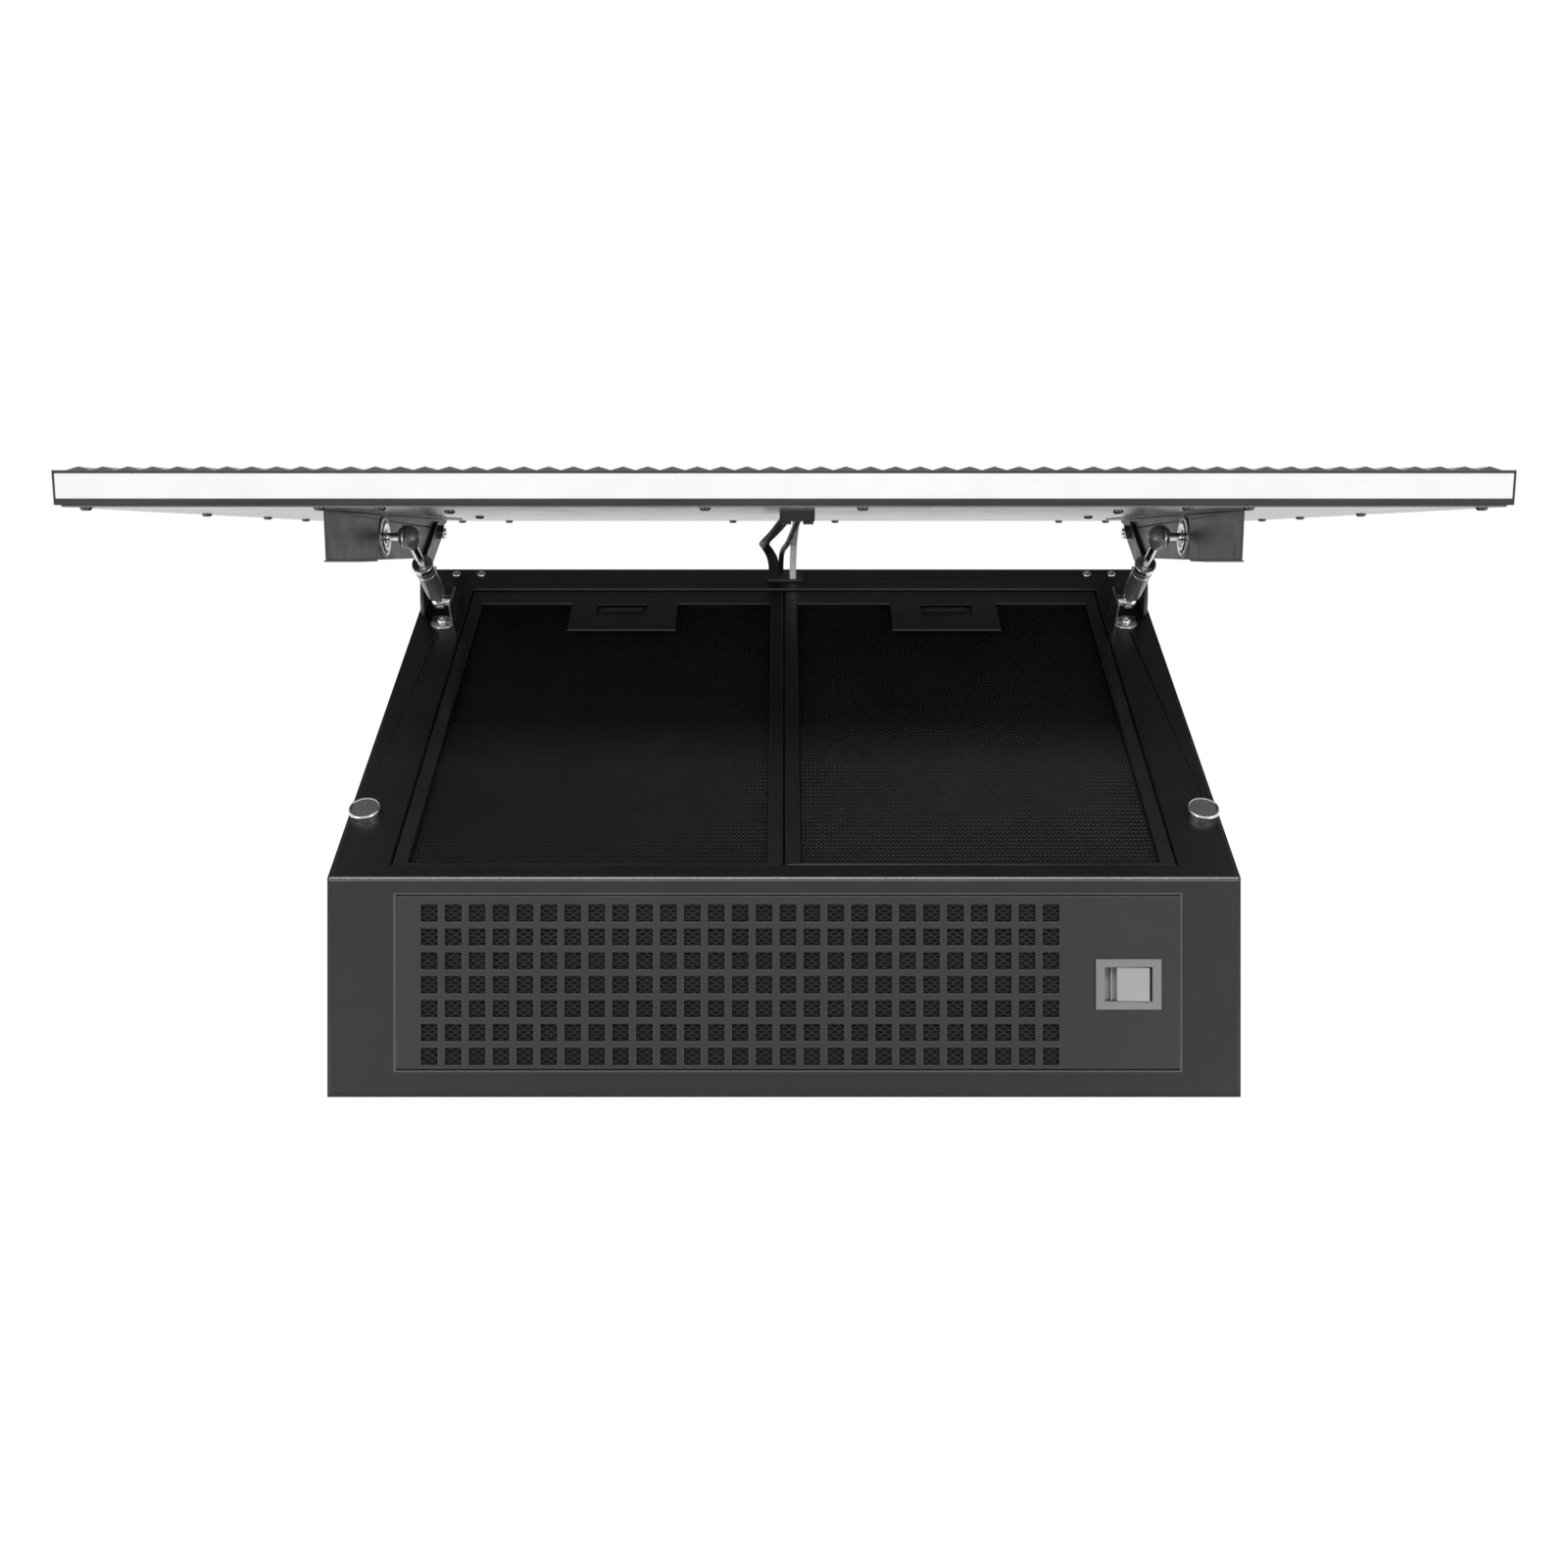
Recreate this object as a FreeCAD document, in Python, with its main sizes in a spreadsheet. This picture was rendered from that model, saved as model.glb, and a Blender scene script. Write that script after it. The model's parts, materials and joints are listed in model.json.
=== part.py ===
"""Angled wall range hood, 600 mm body with a 900 mm fluted lift-up front panel.

Millimetres. +X is the user's right, the front faces -Y, +Z is up. The origin is the middle of the
four wall holes, on the back face. The panel stands open, as it does for cleaning the filters.
"""
import FreeCAD
import Part
import Sketcher
import math
import os

from FreeCAD import Placement, Rotation, Vector

doc = FreeCAD.newDocument("RangeHood")

# Driving sizes. Each one is a cell of the sheet, in millimetres, degrees or a count.
DRIVING = {
    # Casing
    "body_width": 600, "body_height": 308, "base_depth": 144, "top_depth": 393,
    "sheet_wall": 1.2, "bend_radius": 3, "top_flange": 20, "slit": 0.3, "cut_overrun": 5,
    "wall_hole_radius": 4, "wall_hole_spacing": 500, "wall_hole_rise": 200,
    # Filter opening and filters
    "opening_border": 38.5, "opening_low": 13, "opening_high": 358.6,
    "tray_depth": 9.8, "tray_flange": 12, "tray_ledge": 8,
    "filter_play": 0.5, "filter_sink": 1.5, "filter_thickness": 8,
    "filter_side_border": 11, "filter_top_border": 19.6, "filter_bottom_border": 4,
    "mesh_sink": 4.1, "mesh_thickness": 2.9,
    "tab_inner": 88, "tab_outer": 176, "tab_length": 40.5, "tab_thickness": 2,
    "finger_slot_inner": 113, "finger_slot_outer": 154.6, "finger_slot_length": 18,
    "finger_slot_margin": 2,
    "latch_thickness": 1.4, "latch_travel": 6, "latch_margin": 7, "latch_tongue_width": 28,
    "latch_lip_width": 34, "latch_lip": 3,
    # Grille in the underside
    "grille_left": 255, "grille_right": 260, "grille_back": 18.2, "grille_depth": 114, "grille_seam": 0.5,
    "grille_lip": 6, "grille_rim": 2.5, "grille_hole": 11, "grille_pitch": 15.7, "grille_columns": 27,
    "grille_rows": 7, "grille_first_column": 22.1, "grille_first_row": 8.4, "grille_pad_thickness": 1.6,
    "grille_pad_margin": 0.2,
    # Rocker switch
    "switch_x": 226, "switch_y": 74.2, "bezel_length": 42.8, "bezel_width": 33, "bezel_proud": 1.8,
    "switch_length": 31.2, "switch_width": 22.6, "switch_wall": 1.6, "switch_depth": 24,
    "rocker_play": 0.4, "rocker_pivot_rise": 5, "rocker_tilt": 6, "rocker_pin_radius": 1.5,
    "rocker_height": 7, "terminal_width": 6.3, "terminal_length": 9, "terminal_thickness": 0.8,
    # Panel
    "panel_width": 900, "panel_length": 537, "panel_cover": 1.2, "panel_rim": 3,
    "band_height": 17.5, "band_end": 1.5, "band_depth": 8, "frame_front_lip": 1,
    "frame_member": 24, "band_slot_depth": 19, "band_corner": 2, "back_screw_edge": 8,
    "led_board": 1.6, "led_board_end": 20, "led_count": 24,
    "flute_count": 58, "flute_height": 2.2, "flute_base": 0.8, "flute_edge": 9, "panel_open_angle": 30,
    "pivot_along_slope": 407, "pivot_off_slope": 27, "pivot_along_panel": 363, "pivot_behind_panel": 12.1,
    # Cheek brackets of the panel
    "cheek_gap": 0.4, "cheek_wall": 1.2, "cheek_start": 50, "cheek_end": 410, "cheek_depth": 33.8,
    "cheek_taper_start": 318, "cheek_eye_radius": 10, "cheek_flange": 15, "cheek_tab": 31,
    "cheek_tab_length": 12, "striker_length": 30, "striker_width": 23,
    # Hinge arms of the casing
    "arm_thickness": 3, "arm_inset": 1.3, "arm_eye_radius": 9, "arm_root_low": 318, "arm_root_width": 30,
    "arm_root_depth": 42, "arm_slot_play": 1, "pivot_pin_radius": 3, "pin_play": 0.05,
    "pivot_head_radius": 5.5, "pivot_head_height": 2.4, "pivot_tip": 1.1, "nut_radius": 6.6, "nut_height": 5,
    "arm_bolt_radius": 5, "arm_bolt_height": 3,
    # Gas struts
    "strut_beside_opening": 18.5, "strut_foot_along": 318, "strut_foot_off": 14,
    "strut_plate_along": 195.9, "strut_plate_behind": 17, "strut_plate_radius": 15.5,
    "strut_plate_thickness": 2, "strut_tube_radius": 7.5, "strut_tube_wall": 1.4, "strut_tube_start": 11,
    "strut_tube_end": 65, "strut_cap": 5, "strut_cap_radius": 8.4, "strut_rod_radius": 3,
    "strut_rod_length": 62, "piston_play": 0.3, "piston_length": 6, "socket_radius": 8,
    "socket_neck_radius": 4.6, "socket_neck_end": 13, "ball_radius": 4.5, "ball_play": 0.3,
    "eye_radius": 6.5, "eye_width": 8, "foot_stud_head": 1.2, "foot_leg_inset": 10.8,
    "foot_wall": 1.5, "foot_leg_low": 300, "foot_leg_high": 327, "foot_plate_high": 316,
    "foot_plate_width": 19, "foot_screw_along": 306, "foot_screw_inset": 2,
    "front_screw_along": 382, "front_screw_edge": 21, "front_screw_step": 21,
    # Fasteners and small parts
    "screw_head_radius": 3.6, "screw_head_height": 2.2, "screw_shank_radius": 1.5, "screw_shank_length": 5,
    "screw_hole_play": 0.1, "washer_radius": 7.5, "washer_thickness": 0.8,
    "bumper_along": 66.5, "bumper_radius": 11, "bumper_height": 5, "bumper_rim": 1.6,
    "bumper_floor": 1.2, "magnet_sink": 0.8,
    "grommet_x": 0.5, "grommet_along": 379, "grommet_length": 26, "grommet_width": 14, "grommet_wall": 1.6,
    "grommet_proud": 2,
    "clamp_x": 9, "clamp_along": 105, "clamp_length": 16, "clamp_width": 24, "clamp_height": 7,
    # Blower and duct
    "collar_radius": 75, "collar_wall": 1.5, "collar_height": 50, "collar_back": 130, "collar_flange": 12,
    "flap_gap": 1.2, "flap_thickness": 1.2, "flap_rise": 16, "flap_pin_offset": 5, "flap_pin_radius": 1.5,
    "flap_barrel_radius": 3, "flap_barrel_share": 0.8,
    "fan_back": 112, "fan_drop": 10, "fan_radius": 70, "fan_half_width": 54, "fan_blades": 36,
    "blade_depth": 11, "blade_thickness": 1, "fan_ring": 2, "fan_disc_offset": 12, "fan_hub_radius": 10,
    "fan_hub_length": 20, "volute_start_radius": 78, "volute_end_radius": 92, "volute_wall": 2,
    "volute_half_width": 62, "inlet_radius": 60, "tongue_angle": 60, "volute_sweep": 240,
    "motor_radius": 38, "motor_near": 2, "motor_boss_radius": 16, "motor_boss_length": 4,
    "shaft_radius": 4, "shaft_play": 0.1, "shaft_start": 30, "shaft_end": 30,
    "bracket_wall": 2, "bracket_hub_radius": 30, "bracket_arm_width": 12, "bracket_reach": 74,
    # Boxes inside the casing
    "control_box_width": 140, "control_box_depth": 40, "control_box_height": 90, "control_box_x": 190,
    "control_box_z": 65, "box_wall": 2, "capacitor_radius": 17.5, "capacitor_length": 70,
    "capacitor_x": 190, "capacitor_z": 30, "strap_wall": 1.5, "strap_width": 14,
    "driver_length": 130, "driver_depth": 30, "driver_height": 40, "driver_x": 190, "driver_z": 60,
    "mains_gland_x": 230, "mains_gland_back": 60, "gland_radius": 10, "gland_bore": 4, "gland_height": 14,
    # Leads between casing and panel
    "sleeve_width": 9, "sleeve_thickness": 3, "lead_radius": 2.3,
    "ribbon_width": 5.4, "ribbon_thickness": 1.6, "lead_exit_run": 14, "lead_clamp_run": 22,
}

# Shares: where things lie along a length, and how large they are beside another size
TOP_SCREW_SHARES = (0.1, 0.5, 0.87)
PIN_BORE_SHARE = 0.75
TERMINAL_PITCH_SHARE = 1.5
ROCKER_OUTLINE_SHARES = ((-1, 0.93), (-1, -0.45), (-0.1, -0.5), (-0.1, -0.6), (-0.55, -0.64),
                         (-0.55, -0.7), (0, -0.76), (0, -0.93), (0.3, -0.97), (0.3, 0.97))
ARM_FRONT_BEND_SHARES = (0.22, 1.02)
ARM_FRONT_END_SHARES = (0.6, 0.9)
ARM_BACK_START_SHARE = 0.68
ARM_BACK_BEND_SHARES = (0.43, 0.42)
ARM_BOLT_SHARES = (0.4, 0.78)
NEAR_SCREW_SHARES = (0.109, 0.558, 0.642, 0.964)
FAR_SCREW_SHARES = (0.109, 0.587, 0.687, 0.96)
SIDE_SCREW_SHARES = (0.378, 0.63, 0.82)
SIDE_SCREW_ACROSS_SHARE = 0.96
INNER_SCREW_SHARES = ((0.509, 0.196), (0.549, 0.559))
PLATE_DOME_SHARE = 0.7
CLAMP_SCREW_SHARE = 0.32
GLAND_NECK_SHARE = 0.8
SCROLL_STEP_SHARES = (0, 0.25, 0.5, 0.75, 1)
ROUTE_SETBACK_SHARE = 0.45

sheet = doc.addObject("Spreadsheet::Sheet", "Sizes")
for row, (alias, number) in enumerate(DRIVING.items(), start=1):
    sheet.set(f"A{row}", alias)
    sheet.set(f"B{row}", str(number))
    sheet.setAlias(f"B{row}", alias)
doc.recompute()


def words(value):
    """The sheet expression of a size, or the number itself."""
    return value.words if isinstance(value, Size) else repr(float(value))


class Size(float):
    """A number that remembers the sheet expression it was worked out from."""

    def __new__(cls, number, expression):
        size = float.__new__(cls, number)
        size.words = expression
        return size

    def __add__(self, other):
        return Size(float(self) + float(other), f"({self.words} + {words(other)})")

    def __radd__(self, other):
        return Size(float(other) + float(self), f"({words(other)} + {self.words})")

    def __sub__(self, other):
        return Size(float(self) - float(other), f"({self.words} - {words(other)})")

    def __rsub__(self, other):
        return Size(float(other) - float(self), f"({words(other)} - {self.words})")

    def __mul__(self, other):
        return Size(float(self) * float(other), f"({self.words} * {words(other)})")

    def __rmul__(self, other):
        return Size(float(other) * float(self), f"({words(other)} * {self.words})")

    def __truediv__(self, other):
        return Size(float(self) / float(other), f"({self.words} / {words(other)})")

    def __neg__(self):
        return Size(-float(self), f"(0 - {self.words})")


class Sizes:
    """The cells of the sheet, each read by its alias."""

    def __getattr__(self, alias):
        return Size(float(sheet.get(alias)), f"Sizes.{alias}")


s = Sizes()

X_AXIS = Vector(1, 0, 0)
Y_AXIS = Vector(0, 1, 0)
Z_AXIS = Vector(0, 0, 1)
DIAGONAL = Vector(1, 1, 1)
SIDES = (("left", -1), ("right", 1))
pieces = []


def shift(x, y, z):
    return Placement(Vector(x, y, z), Rotation())


def turn(axis, angle):
    return Placement(Vector(), Rotation(axis, angle))


def span(sign, inner, outer):
    """The low and high X of a stretch between two distances from the middle, on one side."""
    return (inner, outer) if sign > 0 else (-outer, -inner)


# Frames: the casing, its slanted front, the open panel and the struts.
# In the slant's frame Y runs up the slant and Z points out of it. In the panel's frame Y runs up
# the panel from its bottom edge and Z points out of its front, with the back cover at Z = 0.
bottom = -s.body_height / 2
top = s.body_height / 2
half_width = s.body_width / 2
inner_half_width = half_width - s.sheet_wall
opening_half_width = half_width - s.opening_border
strut_plane = opening_half_width + s.strut_beside_opening
slant_run = s.top_depth - s.base_depth
slant_angle = math.degrees(math.atan2(slant_run, s.body_height))
slant_length = math.hypot(slant_run, s.body_height)
slant_sine = slant_run / slant_length
slant_cosine = s.body_height / slant_length

casing = Placement()
slant = shift(0, -s.base_depth, bottom) * turn(X_AXIS, 90 + slant_angle)
panel = (slant * shift(0, s.pivot_along_slope, s.pivot_off_slope) * turn(X_AXIS, -s.panel_open_angle)
         * shift(0, -s.pivot_along_panel, s.pivot_behind_panel))
closed_panel = (slant * shift(0, s.pivot_along_slope, s.pivot_off_slope)
                * shift(0, -s.pivot_along_panel, s.pivot_behind_panel))

foot_point = Vector(0, s.strut_foot_along, s.strut_foot_off)
plate_point = Vector(0, s.strut_plate_along, -s.strut_plate_behind)
open_point = slant.inverse().multVec(panel.multVec(plate_point))
closed_point = slant.inverse().multVec(closed_panel.multVec(plate_point))
open_reach = open_point - foot_point
closed_reach = closed_point - foot_point
strut_angle = math.degrees(math.atan2(open_reach.z, open_reach.y))
closed_strut_angle = math.degrees(math.atan2(closed_reach.z, closed_reach.y))
strut = slant * shift(0, s.strut_foot_along, s.strut_foot_off) * turn(X_AXIS, strut_angle)


def along_first(frame):
    """Side profiles: the sketch lies in the frame's Y and Z, and the pad runs along its X."""
    return frame * turn(DIAGONAL, 120)


def along_second(frame):
    """Cross sections: the sketch lies in the frame's Z and X, and the pad runs along its Y."""
    return frame * turn(DIAGONAL, -120)


def keep(shape, label):
    """Names a finished sub-part and notes it for export."""
    shape.Label = label
    pieces.append(shape)
    return shape


def block(frame, x, y, z):
    """A box between two X, two Y and two Z places of a frame."""
    box = doc.addObject("Part::Box", "Block")
    for side, (low, high) in (("Length", x), ("Width", y), ("Height", z)):
        box.setExpression(side, words(high - low))
    box.Placement = frame * shift(x[0], y[0], z[0])
    return box


TURNS = {"x": Rotation(Y_AXIS, 90), "y": Rotation(X_AXIS, -90), "z": Rotation()}


def axis_place(frame, axis, centre, low):
    """The placement of a solid of revolution that starts at low along one axis of a frame."""
    first, second = centre
    base = {"x": (low, first, second), "y": (first, low, second), "z": (first, second, low)}[axis]
    return frame * Placement(Vector(*base), TURNS[axis])


def rod(frame, axis, centre, radius, low, high):
    """A cylinder along one axis of a frame; centre holds its other two coordinates in order."""
    cylinder = doc.addObject("Part::Cylinder", "Rod")
    cylinder.setExpression("Radius", words(radius))
    cylinder.setExpression("Height", words(high - low))
    cylinder.Placement = axis_place(frame, axis, centre, low)
    return cylinder


def hexagon(frame, axis, centre, radius, low, high):
    prism = doc.addObject("Part::Prism", "Hexagon")
    prism.Polygon = 6
    prism.setExpression("Circumradius", words(radius))
    prism.setExpression("Height", words(high - low))
    prism.Placement = axis_place(frame, axis, centre, low)
    return prism


def ball(frame, centre, radius):
    sphere = doc.addObject("Part::Sphere", "Ball")
    sphere.setExpression("Radius", words(radius))
    sphere.Placement = frame * shift(*centre) * turn(Z_AXIS, 90)
    return sphere


def join(*shapes):
    fuse = doc.addObject("Part::MultiFuse", "Join")
    fuse.Shapes = list(shapes)
    return fuse


def cut(base, *tools):
    result = doc.addObject("Part::Cut", "Cut")
    result.Base = base
    result.Tool = tools[0] if len(tools) == 1 else join(*tools)
    return result


def group(*shapes):
    """Separate solids that share one name."""
    compound = doc.addObject("Part::Compound", "Group")
    compound.Links = list(shapes)
    return compound


def sketch_on(body, height):
    """A sketch on the body's own XY plane, raised by a height."""
    sketch = body.newObject("Sketcher::SketchObject", "Sketch")
    plane = [item for item in body.Origin.OriginFeatures if item.Role == "XY_Plane"][0]
    sketch.AttachmentSupport = (plane, "")
    sketch.MapMode = "FlatFace"
    sketch.AttachmentOffset = shift(0, 0, height)
    sketch.setExpression("AttachmentOffset.Base.z", words(height))
    return sketch


def draw_path(sketch, path):
    """A closed outline: each item is the next corner, or the middle and end of an arc to it."""
    corners = [item[-1] if isinstance(item[0], tuple) else item for item in path]
    for item, start in zip(path, corners[-1:] + corners[:-1]):
        if isinstance(item[0], tuple):
            points = [Vector(*point, 0) for point in (start, *item)]
            sketch.addGeometry(Part.Arc(*points))
        else:
            sketch.addGeometry(Part.LineSegment(Vector(*start, 0), Vector(*item, 0)))


def draw_rectangle(sketch, x, y):
    """A rectangle whose place and size are bound to the sheet."""
    first = sketch.GeometryCount
    corners = [(x[0], y[0]), (x[1], y[0]), (x[1], y[1]), (x[0], y[1])]
    draw_path(sketch, corners[1:] + corners[:1])
    for line, direction in enumerate(("Horizontal", "Vertical", "Horizontal", "Vertical")):
        sketch.addConstraint(Sketcher.Constraint("Coincident", first + line, 2, first + (line + 1) % 4, 1))
        sketch.addConstraint(Sketcher.Constraint(direction, first + line))
    bound = (("DistanceX", (-1, 1, first, 1), x[0]), ("DistanceY", (-1, 1, first, 1), y[0]),
             ("DistanceX", (first, 1, first, 2), x[1] - x[0]),
             ("DistanceY", (first + 1, 1, first + 1, 2), y[1] - y[0]))
    for kind, points, size in bound:
        number = sketch.addConstraint(Sketcher.Constraint(kind, *points, float(size)))
        sketch.setExpression(f"Constraints[{number}]", words(size))


def new_body(frame):
    body = doc.addObject("PartDesign::Body", "Body")
    body.Placement = frame
    return body


def pad(body, draw, shape, low, high):
    """Adds material inside an outline, from low to high along the body's Z."""
    sketch = sketch_on(body, low)
    draw(sketch, *shape)
    feature = body.newObject("PartDesign::Pad", "Pad")
    feature.Profile = sketch
    feature.setExpression("Length", words(high - low))
    return feature


def pocket(body, draw, shape, low, high):
    """Takes material away inside an outline, from low to high along the body's Z."""
    sketch = sketch_on(body, low)
    draw(sketch, *shape)
    feature = body.newObject("PartDesign::Pocket", "Pocket")
    feature.Profile = sketch
    feature.Reversed = True
    feature.setExpression("Length", words(high - low))
    return feature


def profile(frame, path, low, high):
    """A body padded from one outline of corners and arcs."""
    body = new_body(frame)
    pad(body, draw_path, (path,), low, high)
    return body


def plate(frame, x, y, z):
    """A body padded from a bound rectangle."""
    body = new_body(frame)
    pad(body, draw_rectangle, (x, y), *z)
    return body


def round_edges(body, radius, wanted):
    """Rounds the straight edges whose middle, in the body's own frame, passes a test."""
    doc.recompute()
    base = body.Tip
    names = [f"Edge{number}" for number, edge in enumerate(base.Shape.Edges, start=1)
             if wanted(edge.valueAt((edge.FirstParameter + edge.LastParameter) / 2))]
    fillet = body.newObject("PartDesign::Fillet", "Fillet")
    fillet.Base = (base, names)
    fillet.setExpression("Radius", words(radius))
    return fillet


def close_to(first, second, reach):
    return math.hypot(first[0] - second[0], first[1] - second[1]) < reach


def screws(frame, spots, seat, out):
    """Pan head screws along Z: each has a head outside its seat and a shank through it."""
    solids = []
    for spot in spots:
        tip = seat + out * s.screw_head_height
        head = rod(frame, "z", spot, s.screw_head_radius, *sorted((seat, tip)))
        end = seat - out * s.screw_shank_length
        shank = rod(frame, "z", spot, s.screw_shank_radius, *sorted((seat, end)))
        solids.append(join(head, shank))
    return solids


def screw_holes(frame, spots, low, high):
    radius = s.screw_shank_radius + s.screw_hole_play
    return [rod(frame, "z", spot, radius, low, high) for spot in spots]


def grown(stretch, margin):
    """A stretch with both ends moved out by a margin."""
    return stretch[0] - margin, stretch[1] + margin


# Casing sheets
def lip_corner(share):
    """How far a bent sheet's inner corner lies from its outer corner, along the level side."""
    return s.sheet_wall * share / slant_cosine


front_outline = [
    (-s.sheet_wall, bottom),
    (-s.base_depth, bottom),
    (-s.top_depth, top),
    (-s.top_depth + s.top_flange, top),
    (-s.top_depth + s.top_flange, top - s.sheet_wall),
    (-s.top_depth + lip_corner(1 + slant_sine), top - s.sheet_wall),
    (-s.base_depth + lip_corner(1 - slant_sine), bottom + s.sheet_wall),
    (-s.sheet_wall, bottom + s.sheet_wall),
]
bent_sheet = profile(along_first(casing), front_outline, -inner_half_width, inner_half_width)
for corners, radius in ((front_outline[1:3], s.bend_radius),
                        (front_outline[5:7], s.bend_radius - s.sheet_wall)):
    round_edges(bent_sheet, radius,
                lambda middle: any(close_to(middle, corner, s.sheet_wall / 2) for corner in corners))

opening_x = (-opening_half_width, opening_half_width)
opening_y = (s.opening_low, s.opening_high)
through_sheet = (-s.cut_overrun, s.cut_overrun)
grille_x = (-s.grille_left, s.grille_right)
grille_y = (-(s.grille_back + s.grille_depth), -s.grille_back)
grommet_x = (s.grommet_x - s.grommet_length / 2, s.grommet_x + s.grommet_length / 2)
grommet_y = (s.grommet_along - s.grommet_width / 2, s.grommet_along + s.grommet_width / 2)
arm_outer = inner_half_width - s.arm_inset
arm_inner = arm_outer - s.arm_thickness
arm_root = (s.arm_root_low, s.arm_root_low + s.arm_root_width)
front_screw_x = half_width - s.front_screw_edge
front_screw_spots = [(sign * distance, s.front_screw_along) for _, sign in SIDES
                     for distance in (front_screw_x, front_screw_x - s.front_screw_step)]
foot_screw_x = strut_plane - s.foot_screw_inset
foot_screw_spots = [(sign * foot_screw_x, s.foot_screw_along) for _, sign in SIDES]

sheet_cuts = [
    block(slant, opening_x, opening_y, through_sheet),
    block(casing, grown(grille_x, s.grille_seam), grown(grille_y, s.grille_seam),
          (bottom - s.cut_overrun, bottom + s.cut_overrun)),
    block(slant, grommet_x, grommet_y, through_sheet),
]
for _, sign in SIDES:
    notch_x = span(sign, arm_inner - s.arm_slot_play, half_width)
    sheet_cuts.append(block(slant, notch_x, grown(arm_root, s.arm_slot_play), through_sheet))
sheet_cuts += screw_holes(slant, front_screw_spots + foot_screw_spots, *through_sheet)
keep(cut(bent_sheet, *sheet_cuts), "front_shell")

side_outline = [(0, bottom), (-s.base_depth, bottom), (-s.top_depth, top), (0, top)]
for side, sign in SIDES:
    side_x = span(sign, inner_half_width, half_width)
    keep(profile(along_first(casing), side_outline, *side_x), f"side_panel_{side}")

wall_holes = [rod(casing, "y", (across * s.wall_hole_spacing / 2, up * s.wall_hole_rise / 2),
                  s.wall_hole_radius, -s.cut_overrun, s.cut_overrun)
              for across in (-1, 1) for up in (-1, 1)]
back_inside = -s.sheet_wall
back_sheet = block(casing, (-inner_half_width, inner_half_width), (back_inside, 0), (bottom, top))
keep(cut(back_sheet, *wall_holes), "back_panel")

roof = top - s.sheet_wall
collar_inner = s.collar_radius - s.collar_wall
collar_centre = (0, -s.collar_back)
gland_spot = (s.mains_gland_x, -s.mains_gland_back)
gland_thread = s.gland_bore + s.box_wall
through_top = (top - s.cut_overrun, top + s.cut_overrun)
top_screw_x = inner_half_width - s.cheek_flange
top_screw_spots = [(sign * top_screw_x, -s.top_depth * share) for _, sign in SIDES
                   for share in TOP_SCREW_SHARES]
top_sheet = block(casing, (-inner_half_width, inner_half_width),
                  (-s.top_depth + s.top_flange, back_inside), (roof, top))
top_cuts = [rod(casing, "z", collar_centre, collar_inner, *through_top),
            rod(casing, "z", gland_spot, gland_thread, *through_top)]
keep(cut(top_sheet, *top_cuts, *screw_holes(casing, top_screw_spots, *through_top)), "top_panel")
keep(group(*screws(casing, top_screw_spots, top, 1), *screws(slant, front_screw_spots, 0, 1)),
     "casing_screws")

# Filter tray behind the slanted opening
tray_ledge_top = -s.tray_depth
tray_back = tray_ledge_top - s.sheet_wall
flange_y = (s.opening_low - s.tray_flange / 2, s.opening_high + s.tray_flange)
window_y = grown(opening_y, -s.tray_ledge)
tray = new_body(slant)
pad(tray, draw_rectangle, (grown(opening_x, s.sheet_wall), grown(opening_y, s.sheet_wall)),
    tray_back, back_inside)
pad(tray, draw_rectangle, (grown(opening_x, s.tray_flange), flange_y), 2 * back_inside, back_inside)
pocket(tray, draw_rectangle, (opening_x, opening_y), tray_ledge_top, back_inside)
for _, sign in SIDES:
    window_x = span(sign, s.tray_ledge, opening_half_width - s.tray_ledge)
    pocket(tray, draw_rectangle, (window_x, window_y), tray_back, tray_ledge_top)
keep(tray, "filter_tray")

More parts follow.
